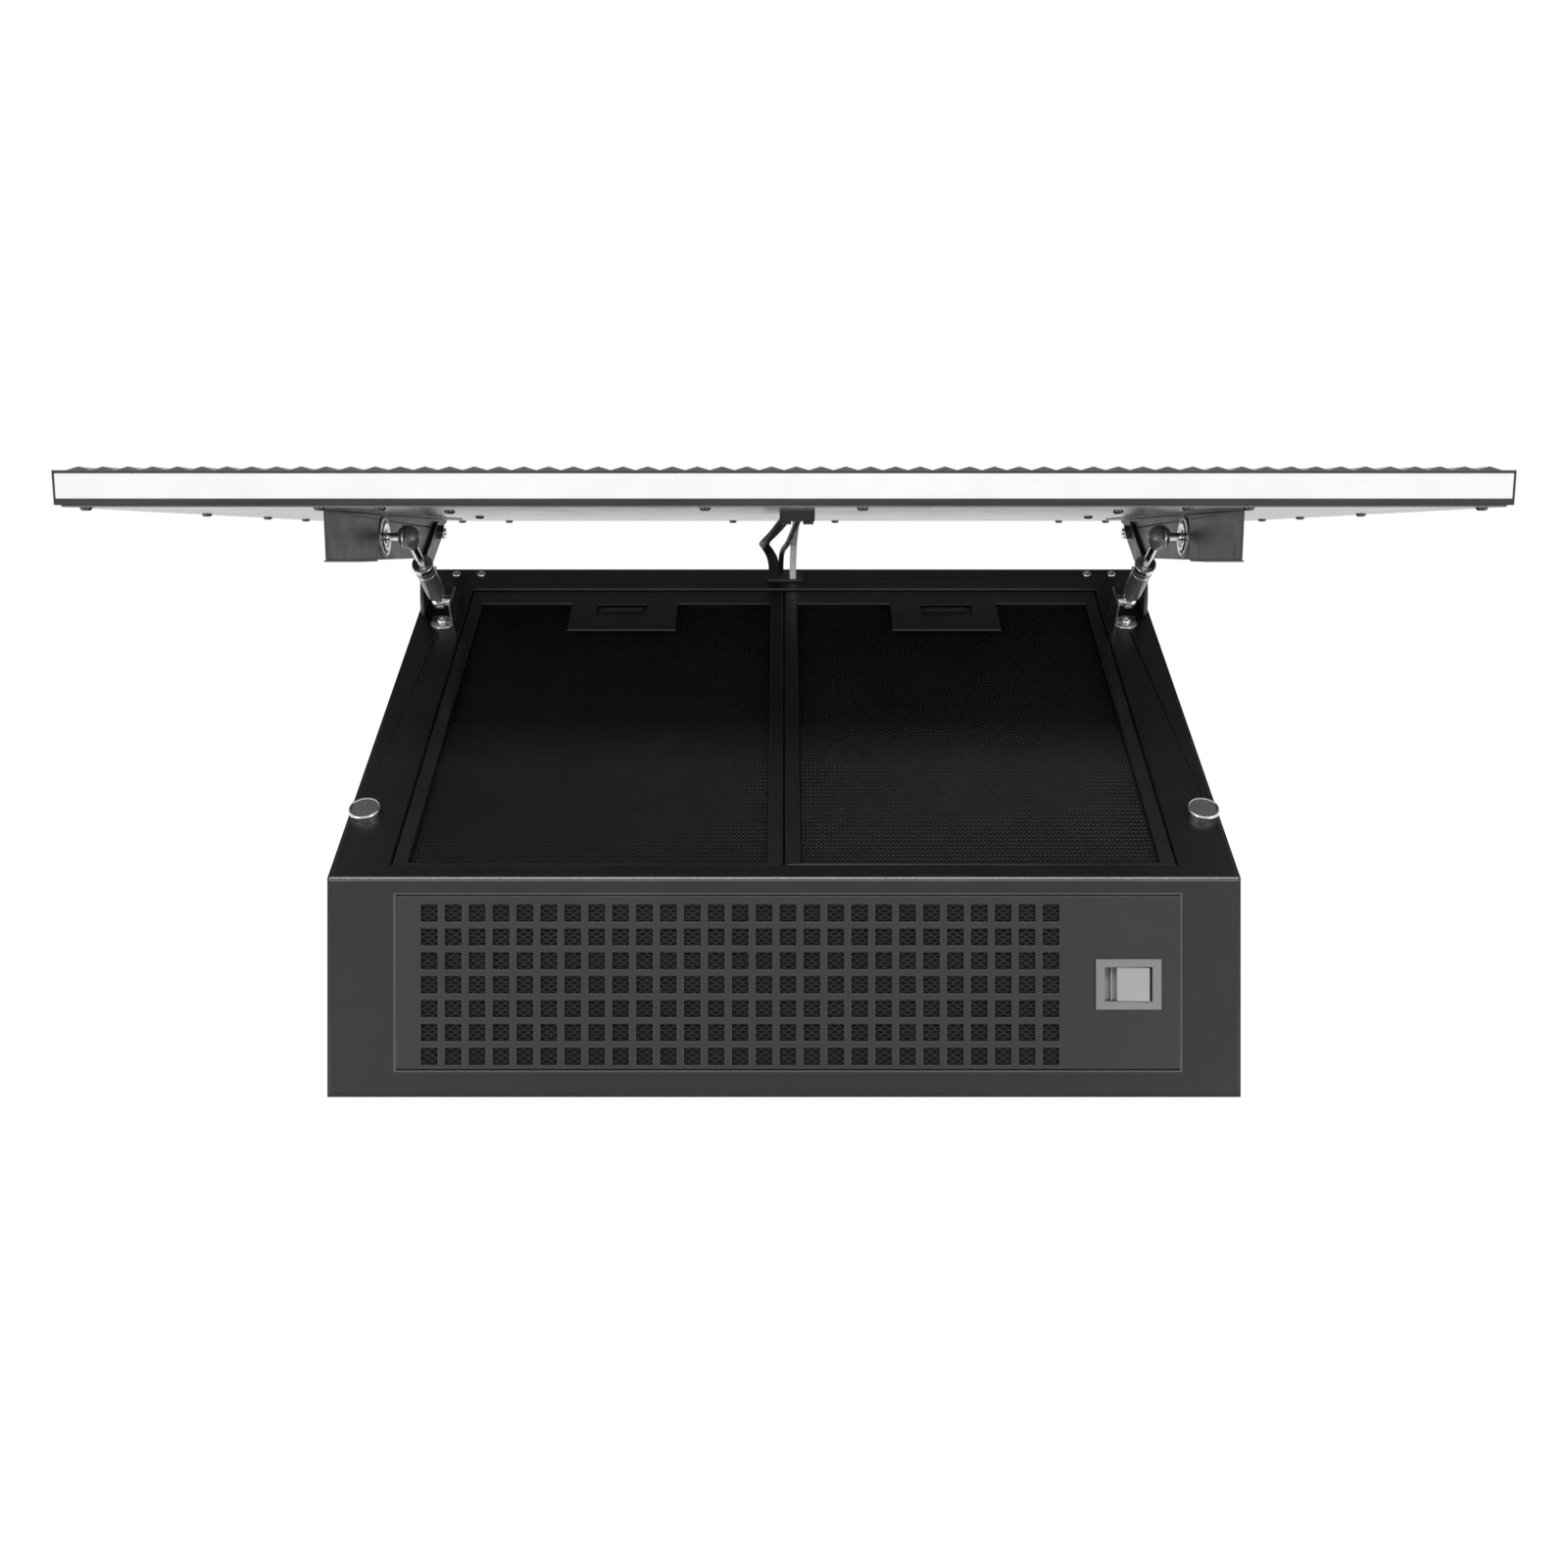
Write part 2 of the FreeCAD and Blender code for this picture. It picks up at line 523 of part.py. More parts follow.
# Filters: a frame with a finger plate, a mesh pack and a sliding latch behind the finger slot
filter_front = -s.filter_sink
filter_back = filter_front - s.filter_thickness
border_low = s.opening_low + s.filter_bottom_border
border_high = s.opening_high - s.filter_top_border
tab_back = filter_front - s.tab_thickness
latch_front = tab_back - s.slit
latch_back = latch_front - s.latch_thickness
mesh_front = filter_front - s.mesh_sink
slot_high = border_high - s.finger_slot_margin
slot_low = slot_high - s.finger_slot_length
slot_middle = (s.finger_slot_inner + s.finger_slot_outer) / 2
tongue_half = s.latch_tongue_width / 2
lip_half = s.latch_lip_width / 2
lip_low = slot_high - s.latch_travel - s.finger_slot_margin / 2
for side, sign in SIDES:
    outer_x = span(sign, s.filter_play, opening_half_width - s.filter_play)
    inner_x = span(sign, s.filter_side_border, opening_half_width - s.filter_side_border)
    tab_x = span(sign, s.tab_inner, s.tab_outer)
    slot_x = span(sign, s.finger_slot_inner, s.finger_slot_outer)
    tongue_x = span(sign, slot_middle - tongue_half, slot_middle + tongue_half)
    lip_x = span(sign, slot_middle - lip_half, slot_middle + lip_half)
    channel = new_body(slant)
    pad(channel, draw_rectangle, (outer_x, grown(opening_y, -s.filter_play)), filter_back, filter_front)
    pocket(channel, draw_rectangle, (inner_x, (border_low, border_high)), filter_back, filter_front)
    pad(channel, draw_rectangle, (tab_x, (border_high - s.tab_length, border_high)), tab_back, filter_front)
    pocket(channel, draw_rectangle, (slot_x, (slot_low, slot_high)), tab_back, filter_front)
    guide_y = (border_high, s.opening_high)
    pocket(channel, draw_rectangle, (grown(tongue_x, s.slit), guide_y), latch_back - s.slit, tab_back)
    keep(channel, f"filter_frame_{side}")
    mesh_z = (mesh_front - s.mesh_thickness, mesh_front)
    keep(block(slant, inner_x, (border_low, border_high), mesh_z), f"filter_mesh_{side}")
    latch = new_body(slant)
    latch_y = (slot_low - s.finger_slot_margin, border_high - s.slit)
    pad(latch, draw_rectangle, (grown(slot_x, s.latch_margin), latch_y), latch_back, latch_front)
    pad(latch, draw_rectangle, (tongue_x, (slot_high, s.opening_high - s.slit)), latch_back, latch_front)
    pad(latch, draw_rectangle, (lip_x, (lip_low, lip_low + s.latch_lip)), latch_front,
        filter_front - s.slit)
    keep(latch, f"filter_latch_{side}")


# Grille pan in the underside, with its square holes, and the pad behind it
def draw_grid(sketch):
    """The square holes, row by row from the back and column by column from the left."""
    half = s.grille_hole / 2
    for column in range(int(s.grille_columns)):
        for row in range(int(s.grille_rows)):
            x = -s.grille_left + s.grille_first_column + column * s.grille_pitch
            y = -s.grille_back - s.grille_first_row - row * s.grille_pitch
            draw_path(sketch, [(x + half, y - half), (x + half, y + half), (x - half, y + half),
                               (x - half, y - half)])


switch_x = (s.switch_x - s.switch_length / 2, s.switch_x + s.switch_length / 2)
switch_y = (-s.switch_y - s.switch_width / 2, -s.switch_y + s.switch_width / 2)
switch_outer = (grown(switch_x, s.switch_wall), grown(switch_y, s.switch_wall))
pan_top = bottom + s.sheet_wall
pan_lip_top = pan_top + s.sheet_wall
pan_inside = (grown(grille_x, -s.grille_rim), grown(grille_y, -s.grille_rim))
grille = new_body(casing)
pad(grille, draw_rectangle, (grille_x, grille_y), bottom, pan_top)
pad(grille, draw_rectangle, (grown(grille_x, s.grille_lip), grown(grille_y, s.grille_lip)),
    pan_top, pan_lip_top)
pocket(grille, draw_rectangle, pan_inside, pan_top, pan_lip_top)
pocket(grille, draw_grid, (), bottom, pan_top)
pocket(grille, draw_rectangle, switch_outer, bottom, pan_top)
keep(grille, "grille_panel")
grille_pad_x = (pan_inside[0][0] + s.grille_pad_margin,
                s.switch_x - s.bezel_length / 2 - s.grille_pad_margin)
keep(block(casing, grille_pad_x, grown(pan_inside[1], -s.grille_pad_margin),
           (pan_top, pan_top + s.grille_pad_thickness)), "grille_pad")

# Rocker switch: housing with bezel and terminals, and the rocker on its pin
bezel_face = bottom - s.bezel_proud
switch_back = bottom + s.switch_depth
housing = new_body(casing)
pad(housing, draw_rectangle, ((s.switch_x - s.bezel_length / 2, s.switch_x + s.bezel_length / 2),
                              (-s.switch_y - s.bezel_width / 2, -s.switch_y + s.bezel_width / 2)),
    bezel_face, bottom)
pad(housing, draw_rectangle, switch_outer, bottom, switch_back)
pocket(housing, draw_rectangle, (switch_x, switch_y), bezel_face, switch_back - s.switch_wall)
rocker_pivot = (s.switch_x, bottom + s.rocker_pivot_rise)
pin_bore = rod(casing, "y", rocker_pivot, s.rocker_pin_radius + s.pin_play,
               *grown(switch_y, s.switch_wall * PIN_BORE_SHARE))
terminal_pitch = s.terminal_width * TERMINAL_PITCH_SHARE
terminals = [block(casing, grown((s.switch_x + place * terminal_pitch,) * 2, s.terminal_thickness / 2),
                   grown((-s.switch_y, -s.switch_y), s.terminal_width / 2),
                   (switch_back, switch_back + s.terminal_length)) for place in (-1, 0, 1)]
keep(group(cut(housing, pin_bore), *terminals), "switch_housing")

rocker_frame = casing * shift(s.switch_x, -s.switch_y, rocker_pivot[1]) * turn(Y_AXIS, s.rocker_tilt)
rocker_half = s.switch_length / 2 - s.rocker_play
rocker_half_width = s.switch_width / 2 - s.rocker_play
rocker_pin_half = s.switch_width / 2 + s.switch_wall / 2
rocker_outline = [(s.rocker_height * depth, rocker_half * across)
                  for depth, across in ROCKER_OUTLINE_SHARES]
rocker_block = profile(along_second(rocker_frame), rocker_outline, -rocker_half_width, rocker_half_width)
rocker_pin = rod(rocker_frame, "y", (0, 0), s.rocker_pin_radius, -rocker_pin_half, rocker_pin_half)
keep(join(rocker_block, rocker_pin), "switch_rocker")

# Hinge arms with their bolts, and the bolts that the panel turns on
pivot = (s.pivot_along_slope, s.pivot_off_slope)
arm_run = s.pivot_along_slope - s.arm_root_low
arm_outline = [
    (arm_root[0], -s.arm_root_depth),
    (arm_root[0], s.arm_thickness),
    ((arm_root[0] + arm_run * ARM_FRONT_BEND_SHARES[0], s.pivot_off_slope * ARM_FRONT_BEND_SHARES[1]),
     (arm_root[0] + arm_run * ARM_FRONT_END_SHARES[0],
      s.pivot_off_slope + s.arm_eye_radius * ARM_FRONT_END_SHARES[1])),
    (pivot[0], pivot[1] + s.arm_eye_radius),
    ((pivot[0] + s.arm_eye_radius, pivot[1]), (pivot[0], pivot[1] - s.arm_eye_radius)),
    (arm_root[0] + arm_run * ARM_BACK_START_SHARE, pivot[1] - s.arm_eye_radius),
    ((arm_root[0] + arm_run * ARM_BACK_BEND_SHARES[0], s.pivot_off_slope * ARM_BACK_BEND_SHARES[1]),
     (arm_root[1], s.slit)),
    (arm_root[1], -s.arm_root_depth),
]
arm_bolt_spots = [(arm_root[0] + s.arm_root_width / 2, -s.arm_root_depth * share)
                  for share in ARM_BOLT_SHARES]
cheek_inner = arm_outer + s.cheek_gap
cheek_outer = cheek_inner + s.cheek_wall
pivot_head_seat = cheek_outer + s.slit
arms = []
arm_bolts = []
pivot_bolts = []
for _, sign in SIDES:
    arm_x = span(sign, arm_inner, arm_outer)
    arm = profile(along_first(slant), arm_outline, *arm_x)
    boss = block(slant, span(sign, arm_outer, inner_half_width), arm_root,
                 (-s.arm_root_depth, -s.arm_root_depth / 4))
    holes = [rod(slant, "x", pivot, s.pivot_pin_radius + s.pin_play, *arm_x)]
    root_x = span(sign, arm_inner, inner_half_width)
    for spot in arm_bolt_spots:
        holes.append(rod(slant, "x", spot, s.pivot_pin_radius + s.pin_play, *root_x))
        head_x = span(sign, arm_inner - s.arm_bolt_height, arm_inner)
        head = hexagon(slant, "x", spot, s.arm_bolt_radius, *head_x)
        arm_bolts.append(join(head, rod(slant, "x", spot, s.pivot_pin_radius, *root_x)))
    arms.append(cut(join(arm, boss), *holes))
    head = rod(slant, "x", pivot, s.pivot_head_radius,
               *span(sign, pivot_head_seat, pivot_head_seat + s.pivot_head_height))
    shank = rod(slant, "x", pivot, s.pivot_pin_radius,
                *span(sign, arm_inner - s.nut_height - s.pivot_tip, pivot_head_seat))
    nut_x = span(sign, arm_inner - s.nut_height, arm_inner)
    nut = cut(hexagon(slant, "x", pivot, s.nut_radius, *nut_x),
              rod(slant, "x", pivot, s.pivot_pin_radius + s.pin_play, *nut_x))
    pivot_bolts += [join(head, shank), nut]
keep(group(*arms), "hinge_arms")
keep(group(*arm_bolts), "hinge_arm_bolts")
keep(group(*pivot_bolts), "panel_pivot_bolts")

# Bumpers: a rimmed cup with a magnet in it
cup_bore = s.bumper_radius - s.bumper_rim
cups = []
magnets = []
for _, sign in SIDES:
    spot = (sign * (half_width - s.bumper_radius), s.bumper_along)
    cups.append(cut(rod(slant, "z", spot, s.bumper_radius, 0, s.bumper_height),
                    rod(slant, "z", spot, cup_bore, s.bumper_floor, s.bumper_height)))
    magnets.append(rod(slant, "z", spot, cup_bore, s.bumper_floor, s.bumper_height - s.magnet_sink))
keep(group(*cups), "bumper_cups")
keep(group(*magnets), "bumper_magnets")

# Feet of the gas struts on the slanted face, with their studs and screws
leg_outer = strut_plane - s.foot_leg_inset
leg_inner = leg_outer - s.foot_wall
leg_height = s.strut_foot_off + s.eye_radius + s.foot_wall
foot_radius = s.foot_plate_width / 2
foot_centre = (s.strut_foot_along, s.strut_foot_off)
washer_top = s.foot_wall + s.washer_thickness
eye_inner = strut_plane - s.eye_width / 2
eye_outer = strut_plane + s.eye_width / 2
feet = []
foot_studs = []
foot_fasteners = []
for _, sign in SIDES:
    spot = (sign * foot_screw_x, s.foot_screw_along)
    foot = block(slant, span(sign, leg_inner, leg_inner + s.foot_plate_width),
                 (s.foot_screw_along, s.foot_plate_high), (0, s.foot_wall))
    rounded_end = rod(slant, "z", (sign * (leg_inner + foot_radius), s.foot_screw_along), foot_radius,
                      0, s.foot_wall)
    leg = block(slant, span(sign, leg_inner, leg_outer), (s.foot_leg_low, s.foot_leg_high), (0, leg_height))
    feet.append(cut(join(foot, rounded_end, leg), *screw_holes(slant, [spot], 0, s.foot_wall)))
    head_seat = eye_outer + s.slit
    foot_studs.append(join(
        rod(slant, "x", foot_centre, s.pivot_pin_radius, *span(sign, leg_outer, head_seat)),
        rod(slant, "x", foot_centre, s.ball_radius, *span(sign, leg_outer, eye_inner - s.slit)),
        rod(slant, "x", foot_centre, s.ball_radius, *span(sign, head_seat, head_seat + s.foot_stud_head))))
    washer = rod(slant, "z", spot, s.washer_radius, s.foot_wall, washer_top)
    foot_fasteners.append(cut(washer, *screw_holes(slant, [spot], s.foot_wall, washer_top)))
    foot_fasteners += screws(slant, [spot], washer_top, 1)
keep(group(*feet), "strut_feet")
keep(group(*foot_studs), "strut_foot_studs")
keep(group(*foot_fasteners), "strut_foot_screws")

# Gas struts: tube, rod with piston, ball socket and ball stud. The strut's frame has its Y along the rod.
strut_reach = open_reach.Length
tube_bore = s.strut_tube_radius - s.strut_tube_wall
cap_low = s.strut_tube_end - s.strut_cap
rod_low = strut_reach - s.strut_rod_length
socket_seat = strut_reach - s.socket_radius
neck_low = strut_reach - s.socket_neck_end
neck_high = strut_reach - s.ball_radius - s.ball_play
stud_tip = cheek_inner - s.strut_plate_thickness - s.slit
for side, sign in SIDES:
    middle = (sign * strut_plane, 0)
    ball_centre = (sign * strut_plane, strut_reach, 0)
    eye_x = span(sign, eye_inner, eye_outer)
    solid_tube = join(rod(strut, "y", middle, s.strut_tube_radius, s.strut_tube_start, s.strut_tube_end),
                      rod(strut, "y", middle, s.strut_cap_radius, cap_low, s.strut_tube_end),
                      rod(strut, "y", middle, s.socket_neck_radius, s.eye_radius - s.foot_wall,
                          s.strut_tube_start),
                      rod(strut, "x", (0, 0), s.eye_radius, *eye_x))
    keep(cut(solid_tube,
             rod(strut, "y", middle, tube_bore, s.strut_tube_start + s.strut_tube_wall, cap_low),
             rod(strut, "y", middle, s.strut_rod_radius + s.piston_play, cap_low, s.strut_tube_end),
             rod(strut, "x", (0, 0), s.pivot_pin_radius + s.pin_play, *eye_x)), f"strut_tube_{side}")
    piston = rod(strut, "y", middle, tube_bore - s.piston_play, rod_low, rod_low + s.piston_length)
    keep(join(rod(strut, "y", middle, s.strut_rod_radius, rod_low, socket_seat), piston),
         f"strut_rod_{side}")
    mouth_x = span(sign, strut_plane, strut_plane + s.socket_radius)
    shell = join(ball(strut, ball_centre, s.socket_radius),
                 rod(strut, "y", middle, s.socket_neck_radius, neck_low, neck_high))
    keep(cut(shell, ball(strut, ball_centre, s.ball_radius + s.ball_play),
             rod(strut, "x", (strut_reach, 0), s.ball_radius, *mouth_x),
             rod(strut, "y", middle, s.strut_rod_radius, neck_low, socket_seat)), f"strut_socket_{side}")
    stud_x = span(sign, strut_plane, stud_tip)
    keep(join(ball(strut, ball_centre, s.ball_radius),
              rod(strut, "x", (strut_reach, 0), s.pivot_pin_radius, *stud_x)), f"strut_stud_{side}")

# Panel: fluted front, frame, light band with its board, and back cover
panel_half = s.panel_width / 2
panel_x = (-panel_half, panel_half)
panel_y = (0, s.panel_length)
band_x = grown(panel_x, -s.band_end)
band_z = (s.panel_rim, s.panel_rim + s.band_height)
frame_front = band_z[1] + s.frame_front_lip
flute_valley = frame_front + s.flute_base
flute_peak = flute_valley + s.flute_height
flute_pitch = (s.panel_width - 2 * s.flute_edge) / s.flute_count
flute_outline = [(frame_front, -panel_half), (flute_valley, -panel_half),
                 (flute_valley, -panel_half + s.flute_edge)]
for number in range(int(s.flute_count)):
    flute_start = -panel_half + s.flute_edge + number * flute_pitch
    flute_outline += [(flute_peak, flute_start + flute_pitch / 2), (flute_valley, flute_start + flute_pitch)]
flute_outline += [(flute_valley, panel_half), (frame_front, panel_half)]
keep(profile(along_second(panel), flute_outline, *panel_y), "fluted_front")

ring = new_body(panel)
ring_window = (grown(panel_x, -s.frame_member), grown(panel_y, -s.frame_member))
pad(ring, draw_rectangle, (panel_x, panel_y), s.panel_cover, frame_front)
pocket(ring, draw_rectangle, ring_window, s.panel_cover, frame_front)
pocket(ring, draw_rectangle, (band_x, (-s.cut_overrun, s.band_slot_depth)), *band_z)
far_row = s.panel_length - s.back_screw_edge
near_spots = [(sign * panel_half * share, s.back_screw_edge)
              for _, sign in SIDES for share in NEAR_SCREW_SHARES]
far_spots = [(sign * panel_half * share, far_row)
             for _, sign in SIDES for share in FAR_SCREW_SHARES]
side_spots = [(sign * panel_half * SIDE_SCREW_ACROSS_SHARE, s.panel_length * share)
              for _, sign in SIDES for share in SIDE_SCREW_SHARES]
inner_spots = [(sign * panel_half * across_share, s.panel_length * share)
               for _, sign in SIDES for across_share, share in INNER_SCREW_SHARES]
back_spots = near_spots + far_spots + side_spots + inner_spots
back_shank = s.panel_rim - s.slit
frame_holes = screw_holes(panel, near_spots + far_spots + side_spots, s.panel_cover, back_shank)
keep(cut(ring, *frame_holes), "panel_frame")

diffuser = plate(panel, band_x, (0, s.band_depth), band_z)
round_edges(diffuser, s.band_corner,
            lambda middle: close_to((middle.y, middle.z), (0, band_z[0]), s.slit)
            or close_to((middle.y, middle.z), (0, band_z[1]), s.slit))
keep(diffuser, "light_diffuser")
board_x = grown(band_x, -s.led_board_end)
board_y = (s.band_slot_depth - s.led_board, s.band_slot_depth)
led_z = (s.panel_rim + s.band_height / 3, s.panel_rim + s.band_height * 2 / 3)
led_pitch = (board_x[1] - board_x[0]) / s.led_count
leds = [block(panel, (board_x[0] + led_pitch * (number + 1 / 3), board_x[0] + led_pitch * (number + 2 / 3)),
              (board_y[0] - s.led_board, board_y[0]), led_z) for number in range(int(s.led_count))]
keep(join(block(panel, board_x, board_y, band_z), *leds), "light_strip")

cover = block(panel, grown(panel_x, -s.panel_rim), grown(panel_y, -s.panel_rim), (0, s.panel_cover))
keep(cut(cover, *screw_holes(panel, back_spots, 0, s.panel_cover)), "back_cover")
back_fasteners = [join(rod(panel, "z", spot, s.screw_head_radius, -s.screw_head_height, 0),
                       rod(panel, "z", spot, s.screw_shank_radius, 0, back_shank)) for spot in back_spots]
keep(group(*back_fasteners), "back_screws")

# Cheek brackets that carry the panel on its pivots, with the plates of the struts
cheek_eye = (s.pivot_along_panel, -s.pivot_behind_panel)
eye_diagonal = s.cheek_eye_radius * math.sqrt(0.5)
cheek_outline = [
    (s.cheek_start, 0),
    (s.cheek_start, -s.cheek_depth),
    (s.cheek_taper_start, -s.cheek_depth),
    (cheek_eye[0], cheek_eye[1] - s.cheek_eye_radius),
    ((cheek_eye[0] + eye_diagonal, cheek_eye[1] - eye_diagonal),
     (cheek_eye[0] + s.cheek_eye_radius, cheek_eye[1])),
    (s.cheek_end, -s.panel_rim),
    (s.cheek_end, 0),
]
tab_z = (-s.cheek_depth, -s.cheek_depth + s.cheek_wall)
striker_y = (s.cheek_start - s.striker_length, s.cheek_start)
plate_discs = []
for side, sign in SIDES:
    web = profile(along_first(panel), cheek_outline, *span(sign, cheek_inner, cheek_outer))
    flange = block(panel, span(sign, cheek_outer - s.cheek_flange, cheek_outer),
                   (s.cheek_start, s.cheek_end), (-s.cheek_wall, 0))
    tab = block(panel, span(sign, cheek_outer - s.cheek_tab, cheek_outer),
                (s.cheek_start, s.cheek_start + s.cheek_tab_length), tab_z)
    striker = block(panel, span(sign, cheek_outer - s.cheek_tab, cheek_outer - s.cheek_tab + s.striker_width),
                    striker_y, tab_z)
    bore = rod(panel, "x", cheek_eye, s.pivot_pin_radius + s.pin_play, *span(sign, cheek_inner, cheek_outer))
    keep(cut(join(web, flange, tab, striker), bore), f"cheek_{side}")
    disc_centre = (s.strut_plate_along, -s.strut_plate_behind)
    rim_x = span(sign, cheek_inner - s.strut_plate_thickness / 2, cheek_inner)
    dome_x = span(sign, cheek_inner - s.strut_plate_thickness, cheek_inner)
    plate_discs.append(join(rod(panel, "x", disc_centre, s.strut_plate_radius, *rim_x),
                            rod(panel, "x", disc_centre, s.strut_plate_radius * PLATE_DOME_SHARE, *dome_x)))
keep(group(*plate_discs), "strut_plates")

# Clamp for the leads on the back cover
clamp_x = (s.clamp_x - s.clamp_width / 2, s.clamp_x + s.clamp_width / 2)
clamp_y = (s.clamp_along - s.clamp_length / 2, s.clamp_along + s.clamp_length / 2)
clamp_spots = [(s.clamp_x + sign * s.clamp_width * CLAMP_SCREW_SHARE, s.clamp_along) for _, sign in SIDES]
clamp_block = block(panel, clamp_x, clamp_y, (-s.clamp_height, 0))
clamp_heads = [rod(panel, "z", spot, s.screw_head_radius, -s.clamp_height - s.screw_head_height,
                   -s.clamp_height) for spot in clamp_spots]
keep(group(clamp_block, *clamp_heads), "cable_clamp")

# Grommet in the slanted face and gland in the roof
grommet_plug = block(slant, grommet_x, grommet_y, (-s.sheet_wall - s.grommet_wall, 0))
grommet_face = block(slant, grown(grommet_x, s.grommet_wall), grown(grommet_y, s.grommet_wall),
                     (0, s.grommet_proud))
keep(join(grommet_plug, grommet_face), "cable_grommet")

gland_body = join(hexagon(casing, "z", gland_spot, s.gland_radius, top, top + s.gland_height / 2),
                  rod(casing, "z", gland_spot, s.gland_radius * GLAND_NECK_SHARE, top, top + s.gland_height),
                  rod(casing, "z", gland_spot, gland_thread, roof - s.gland_height / 2, top),
                  hexagon(casing, "z", gland_spot, s.gland_radius, roof - s.gland_height / 4, roof))
gland_hole = rod(casing, "z", gland_spot, s.gland_bore, roof - s.gland_height, top + s.gland_height * 2)
keep(cut(gland_body, gland_hole), "mains_gland")

# Duct collar with the two flaps of the damper on their pins
flap_height = top + s.flap_rise
collar = join(rod(casing, "z", collar_centre, s.collar_radius, top, top + s.collar_height),
              rod(casing, "z", collar_centre, s.collar_radius + s.collar_flange, top, top + s.collar_wall))
collar_bores = [rod(casing, "z", collar_centre, collar_inner, *grown((top, top + s.collar_height),
                                                                       s.cut_overrun))]
flap_pins = []
flaps = []
for name, sign in (("front", -1), ("back", 1)):
    hinge_line = (-s.collar_back + sign * s.flap_pin_offset, flap_height)
    pin_end = collar_inner + s.collar_wall / 2
    collar_bores.append(rod(casing, "x", hinge_line, s.flap_pin_radius, -s.collar_radius, s.collar_radius))
    flap_pins.append(rod(casing, "x", hinge_line, s.flap_pin_radius, -pin_end, pin_end))
    flap_radius = collar_inner - s.flap_gap
    disc = rod(casing, "z", collar_centre, flap_radius, flap_height - s.flap_thickness / 2,
               flap_height + s.flap_thickness / 2)
    kept_y = sorted((hinge_line[0], hinge_line[0] + sign * s.collar_radius))
    half = doc.addObject("Part::Common", "Half")
    half.Base = disc
    half.Tool = block(casing, (-s.collar_radius, s.collar_radius), kept_y,
                      (flap_height - s.cut_overrun, flap_height + s.cut_overrun))
    barrel_half = flap_radius * s.flap_barrel_share
    barrel = rod(casing, "x", hinge_line, s.flap_barrel_radius, -barrel_half, barrel_half)
    flap_bore = rod(casing, "x", hinge_line, s.flap_pin_radius + s.pin_play, -s.collar_radius,
                    s.collar_radius)
    keep(cut(join(half, barrel), flap_bore), f"flap_{name}")
keep(cut(collar, *collar_bores), "duct_collar")
keep(group(*flap_pins), "flap_pins")

# Blower: scroll housing, impeller, motor and bracket
fan_centre = (-s.fan_back, -s.fan_drop)


def scroll_point(share, inset):
    """A point of the scroll's wall, part of the way round from its tongue, moved in by an inset."""
    radius = s.volute_start_radius + (s.volute_end_radius - s.volute_start_radius) * share - inset
    angle = math.radians(s.tongue_angle - s.volute_sweep * share)
    return fan_centre[0] + radius * math.cos(angle), fan_centre[1] + radius * math.sin(angle)


def scroll_outline(inset, upper):
    """The scroll and its throat, seen from the side."""
    tongue, first, second, third, mouth = [scroll_point(share, inset) for share in SCROLL_STEP_SHARES]
    return [(tongue[0], upper), tongue, (first, second), (third, mouth), (mouth[0], upper)]


scroll = profile(along_first(casing), scroll_outline(0, roof), -s.volute_half_width, s.volute_half_width)
scroll_inside = (s.volute_wall - s.volute_half_width, s.volute_half_width - s.volute_wall)
pocket(scroll, draw_path, (scroll_outline(s.volute_wall, roof + s.cut_overrun),), *scroll_inside)
inlet = rod(casing, "x", fan_centre, s.inlet_radius, *grown((-s.volute_half_width, s.volute_half_width),
                                                         s.cut_overrun))
keep(cut(scroll, inlet), "blower_housing")


def fan_frame(angle):
    """A frame on the fan's axis, turned about it."""
    return casing * shift(0, *fan_centre) * turn(X_AXIS, angle)


fan_x = (-s.fan_half_width, s.fan_half_width)
disc_x = (-s.fan_disc_offset - s.fan_ring / 2, -s.fan_disc_offset + s.fan_ring / 2)
hub_x = (disc_x[1] - s.fan_hub_length, disc_x[1])
blade_root = s.fan_radius - s.blade_depth
fan_parts = [rod(casing, "x", fan_centre, s.fan_radius, *disc_x),
             rod(casing, "x", fan_centre, s.fan_hub_radius, *hub_x)]
for ring_x in ((fan_x[0], fan_x[0] + s.fan_ring), (fan_x[1] - s.fan_ring, fan_x[1])):
    fan_parts.append(cut(rod(casing, "x", fan_centre, s.fan_radius, *ring_x),
                         rod(casing, "x", fan_centre, blade_root, *ring_x)))
for number in range(int(s.fan_blades)):
    blade_frame = fan_frame(360 / s.fan_blades * number)
    fan_parts.append(block(blade_frame, fan_x, (-s.blade_thickness / 2, s.blade_thickness / 2),
                           (blade_root, s.fan_radius - s.blade_thickness)))
keep(cut(join(*fan_parts), rod(casing, "x", fan_centre, s.shaft_radius, *hub_x)), "impeller")
keep(rod(casing, "x", fan_centre, s.shaft_radius, -s.shaft_start, s.shaft_end), "motor_shaft")

motor_can = join(rod(casing, "x", fan_centre, s.motor_radius, s.motor_near, s.volute_half_width),
                 rod(casing, "x", fan_centre, s.motor_boss_radius, s.motor_near - s.motor_boss_length,
                     s.motor_near))
motor_bore = rod(casing, "x", fan_centre, s.shaft_radius + s.shaft_play,
                 s.motor_near - s.motor_boss_length, s.shaft_end + s.slit)
keep(cut(motor_can, motor_bore), "motor")
bracket_x = (s.volute_half_width, s.volute_half_width + s.bracket_wall)
bracket_arms = [block(fan_frame(angle), bracket_x, (-s.bracket_arm_width / 2, s.bracket_arm_width / 2),
                      (0, s.bracket_reach)) for angle in (0, 120, 240)]
keep(join(rod(casing, "x", fan_centre, s.bracket_hub_radius, *bracket_x), *bracket_arms), "motor_bracket")

